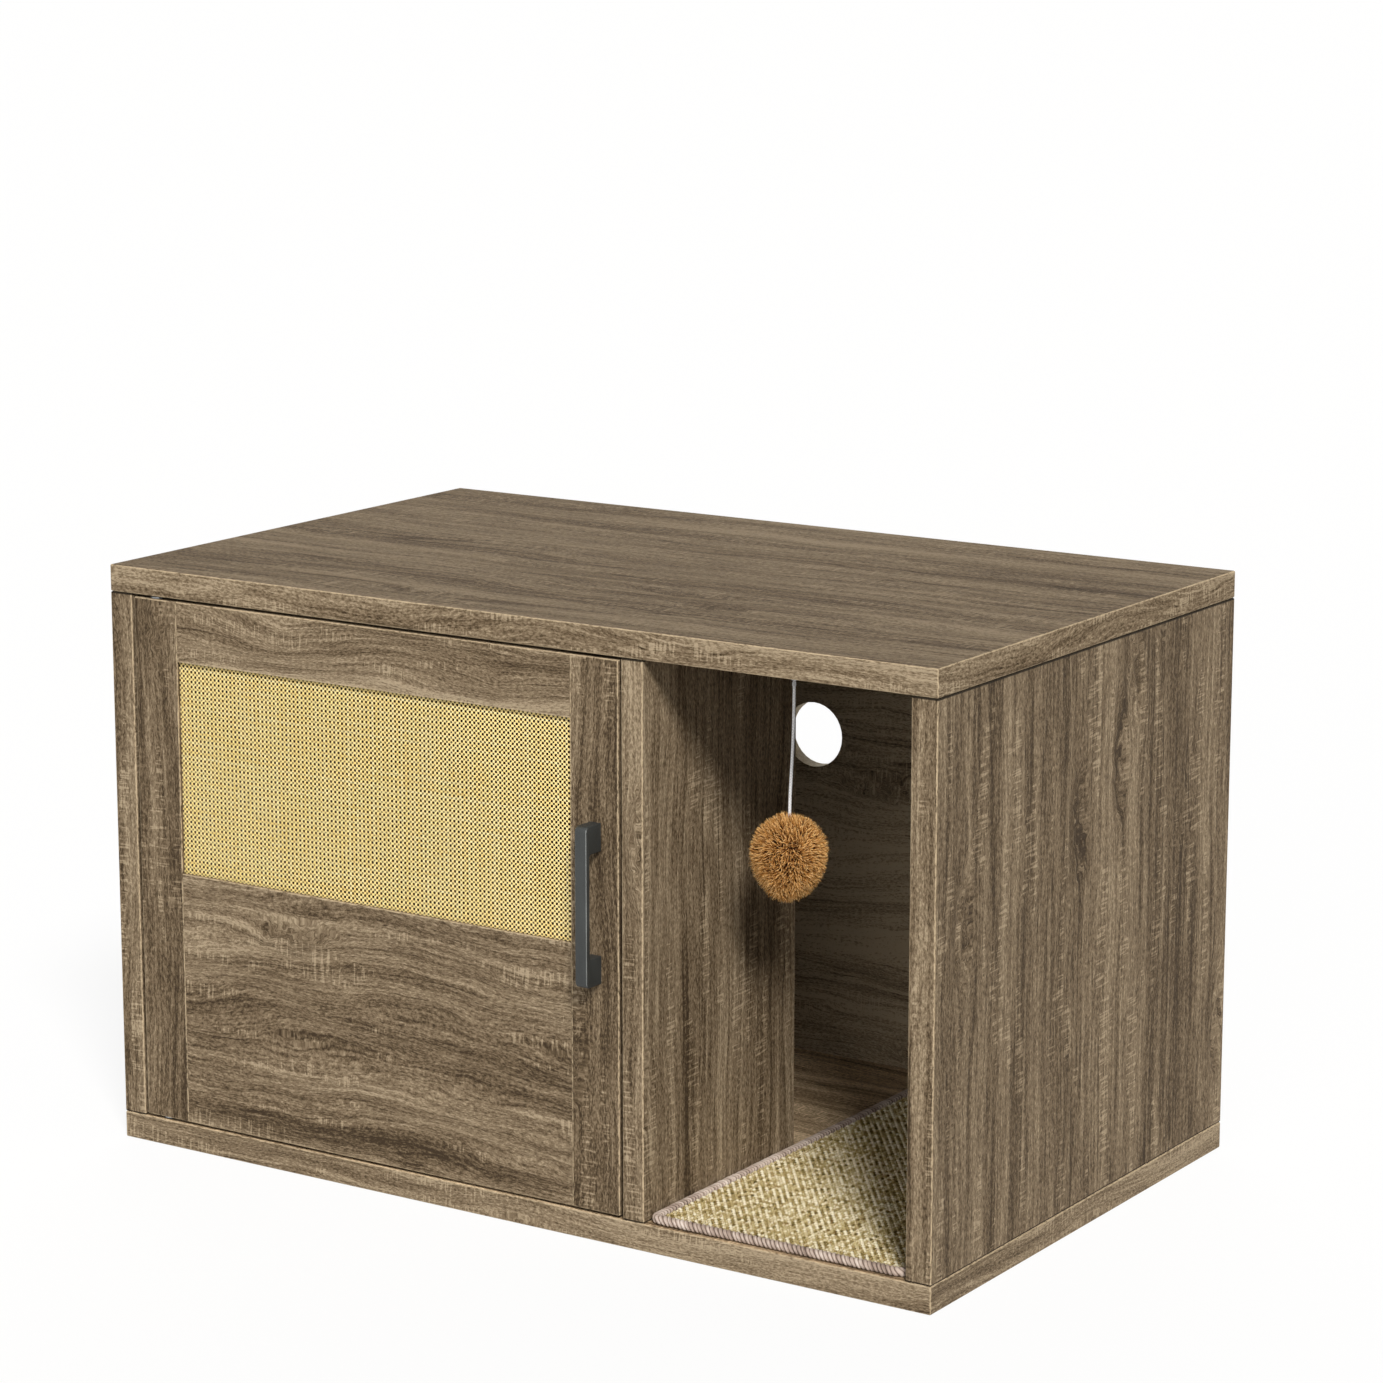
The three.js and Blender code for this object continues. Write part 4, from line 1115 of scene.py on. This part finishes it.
def sisal_weave():
    """The mat's face: thick twisted yarn in a plain weave."""
    low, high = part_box("sisal_mat")
    inset = Vector((SISAL_INSET, SISAL_INSET, 0))
    low, high = low + inset, high - inset
    columns = round((high.x - low.x) / MM / SISAL_PITCH[0])
    rows = round((high.y - low.y) / MM / SISAL_PITCH[1])
    across, back = (high.x - low.x) / columns, (high.y - low.y) / rows
    middle = (low.z + high.z) / 2 + SISAL_RISE
    first, pitch = [v / MM for v in low.xy], [across / MM, back / MM]

    section = flat_section(*WEFT_SIZE, SISAL_SHOULDER)
    weft = woven(section, rows, columns, back, across, *WEFT_MOVES, 0)
    laid(weft, (X, Y, Z), (low.x, low.y, middle))
    weft = finished("sisal_weft", weft, "mat",
                    sisal("sisal_across", 0, first, pitch, WEFT_TONE), ["sisal_mat"])

    section = flat_section(*WARP_SIZE, SISAL_SHOULDER)
    warp = woven(section, columns, rows, across, back, *WARP_MOVES, 1)
    laid(warp, (Y, -X, Z), (high.x, low.y, middle))
    warp = finished("sisal_warp", warp, "mat",
                    sisal("sisal_lengthways", 1, first, pitch, WARP_TONE), ["sisal_mat"])


# ---- putting it together

def dress(nodes, material):
    """Gives CAD nodes a finish."""
    for node in nodes:
        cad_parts[node].material_slots[0].material = material


BACK_HOLE = (0.0, 347.0, 32.0)    # its middle's x and z, and its radius, in mm
END_DOWELS = (0, 0, 12)           # how far dowels stick out along each axis, in mm
ROUND_DOWELS = (10, 0, 10)


def dress_boards():
    boards = {
        # node: grain, thin way, seed, and what else is special to it
        # top_board's upper face is darkened as painted shade; bottom_board's is lightened as painted
        # light.
        "top_board": ("x", "z", 1.3, {"upper": 0.6, "tone": 0.67, "gloss": 0.02}),
        "bottom_board": ("x", "z", 2.1, {"tone": 0.54, "upper": 2.0}),
        "left_side_board": ("z", "x", 3.7, {"dowels": END_DOWELS, "shaded_seams": True, "tone": 0.54}),
        "right_side_board": ("z", "x", 4.4, {"dowels": END_DOWELS, "shaded_seams": True, "tone": 0.46,
                                             "wander": 14.0}),
        "divider_board": ("z", "x", 5.2, {"dowels": END_DOWELS, "shaded_seams": True, "tone": 0.52,
                                          "wander": 16.0}),
        # back_board's light tone is painted light on its inside.
        "back_board": ("x", "y", 6.9, {"dowels": ROUND_DOWELS, "wander": 50.0, "tone": 0.78,
                                       "bore": BACK_HOLE}),
        "door_hinge_stile": ("z", "y", 7.5, {"wander": 20.0, "knots": 0.5, "tone": 0.32}),
        "door_handle_stile": ("z", "y", 8.8, {"tone": 0.30}),
        "door_top_rail": ("x", "y", 9.1, {"wander": 45.0, "tone": 0.56}),
        "door_lower_panel": ("x", "y", 10.6, {"wander": 44.0, "tone": 0.475}),
        "rattan_bead_top": ("x", "y", 11.2, {"knots": 0.3}),
        "rattan_bead_bottom": ("x", "y", 12.4, {"knots": 0.3}),
        "rattan_bead_left": ("z", "y", 13.5, {"knots": 0.3}),
        "rattan_bead_right": ("z", "y", 14.7, {"knots": 0.3}),
    }
    for node, (grain, thick, seed, special) in boards.items():
        dress([node], oak("oak_" + node, node, grain, thick, seed, **special))


def fit_hardware():
    zinc = speckled("zinc", "8f9296", "c4c7ca", 0.8, 0.00004, Metallic=0.9, Roughness=0.38)
    steel = brushed("steel", "8a8d91", "b7babd", 2, Metallic=1.0, Roughness=0.32)
    nylon = speckled("nylon", "221e1a", "37312b", 0.6, 0.00003, Roughness=0.5)
    plastic = speckled("brown_plastic", "3c2d20", "584432", 0.5, 0.00006, Roughness=0.5)
    ferrite = speckled("magnet", "2a2a2c", "48484b", 0.7, 0.00005, Metallic=0.3, Roughness=0.55)
    rubber = speckled("rubber_backing", "2b2826", "45413e", 1.2, 0.0002, Roughness=0.9)

    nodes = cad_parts
    dress([n for n in nodes if n.startswith("cam_bolt_")], zinc)
    dress(["strike_plate"], brushed("zinc_plate", "9a9da0", "c6c8cb", 2, Metallic=0.9,
                                    Roughness=0.35))
    dress(["upper_hinge_pin", "lower_hinge_pin"], steel)
    dress(["upper_hinge_bushing", "lower_hinge_bushing"], nylon)
    dress(["catch_body"], plastic)
    dress(["catch_magnet"], ferrite)
    dress(["mat_backing"], rubber)

    finished("screw_eye", screw_eye(), "cabinet", zinc, ["toy_screw_eye"], sharp=40)
    finished("bar_handle", handle(), "door", painted_metal(), ["door_handle"],
             sharp=50)
    cam_locks(zinc)
    for side in ("lower", "upper"):
        screw("handle_screw_" + side, Y, "door", steel, 4 * MM, 2.4 * MM, 0.4 * MM)
        screw("catch_screw_" + side, -X, "cabinet", steel, 2.9 * MM, 1.3 * MM, 0.0)
        screw("strike_screw_" + side, Y, "door", steel, 2.9 * MM, 1.3 * MM, 0.0)


hang_toy()
dress_boards()
fit_hardware()
rattan()
binding(wrapped_yarn())
sisal_weave()


# ---- floor and light

FLOOR_SIZE = 80             # metres
FLOOR_GLOW = 0.84           # how far the camera sees the floor as plain white
WORLD_LIGHT = 0.15          # the strength of what falls on things; what the camera sees is 1


def lay_floor():
    bpy.ops.mesh.primitive_plane_add(size=FLOOR_SIZE)
    floor = bpy.context.object
    floor.name = "floor"
    finish = Finish("pale_floor", Roughness=0.9, Specular_IOR_Level=0.0)
    x, y, _ = finish.place()
    grain = finish.cloud(x / 300, y / 300, 0.0, 3.0)
    seen = finish.seen()
    pale = finish.ramp(grain, (0.3, "bdbdbc"), (0.7, "c4c4c3"))
    finish.set_surface({"Base Color": finish.blend(seen, pale, "fcfcfc")})
    glow = finish.node("Emission", inputs={"Color": (1, 1, 1, 1), "Strength": 1.0})
    shown = finish.node("MixShader", inputs={
        "Fac": seen * FLOOR_GLOW, 1: finish.surface.outputs[0], 2: glow})
    finish.join(shown, finish.nodes["Material Output"].inputs["Surface"])
    floor.data.materials.append(finish.material)


def sun(name, towards, strength, spread, colour=(1.0, 1.0, 1.0)):
    """A soft lamp, which shines from a direction and spreads over some degrees."""
    light = bpy.data.lights.new(name, "SUN")
    light.energy = strength
    light.angle = math.radians(spread)
    light.color = colour
    lamp = bpy.data.objects.new(name, light)
    lamp.rotation_euler = Vector(towards).to_track_quat("Z", "Y").to_euler()
    bpy.context.collection.objects.link(lamp)
    return lamp


def light_studio():
    sun("key", (0.97, -1, 1.19), 3.42, 14, (1.0, 0.985, 0.955))
    sun("fill", (0.34, -1, 0.10), 1.2, 50)
    rear = sun("rear", (-0.6, 1, 0.2), 1.5, 60)
    rear.visible_glossy = False

    world = bpy.data.worlds.new("studio")
    bpy.context.scene.world = world
    world.use_nodes = True
    sky = Graph(world.node_tree)
    background = sky.nodes["Background"]
    sky.join((1, 1, 1, 1), background.inputs["Color"])
    sky.join(WORLD_LIGHT + sky.seen() * (1 - WORLD_LIGHT), background.inputs["Strength"])
    bpy.context.scene.view_settings.view_transform = "Standard"


lay_floor()
light_studio()
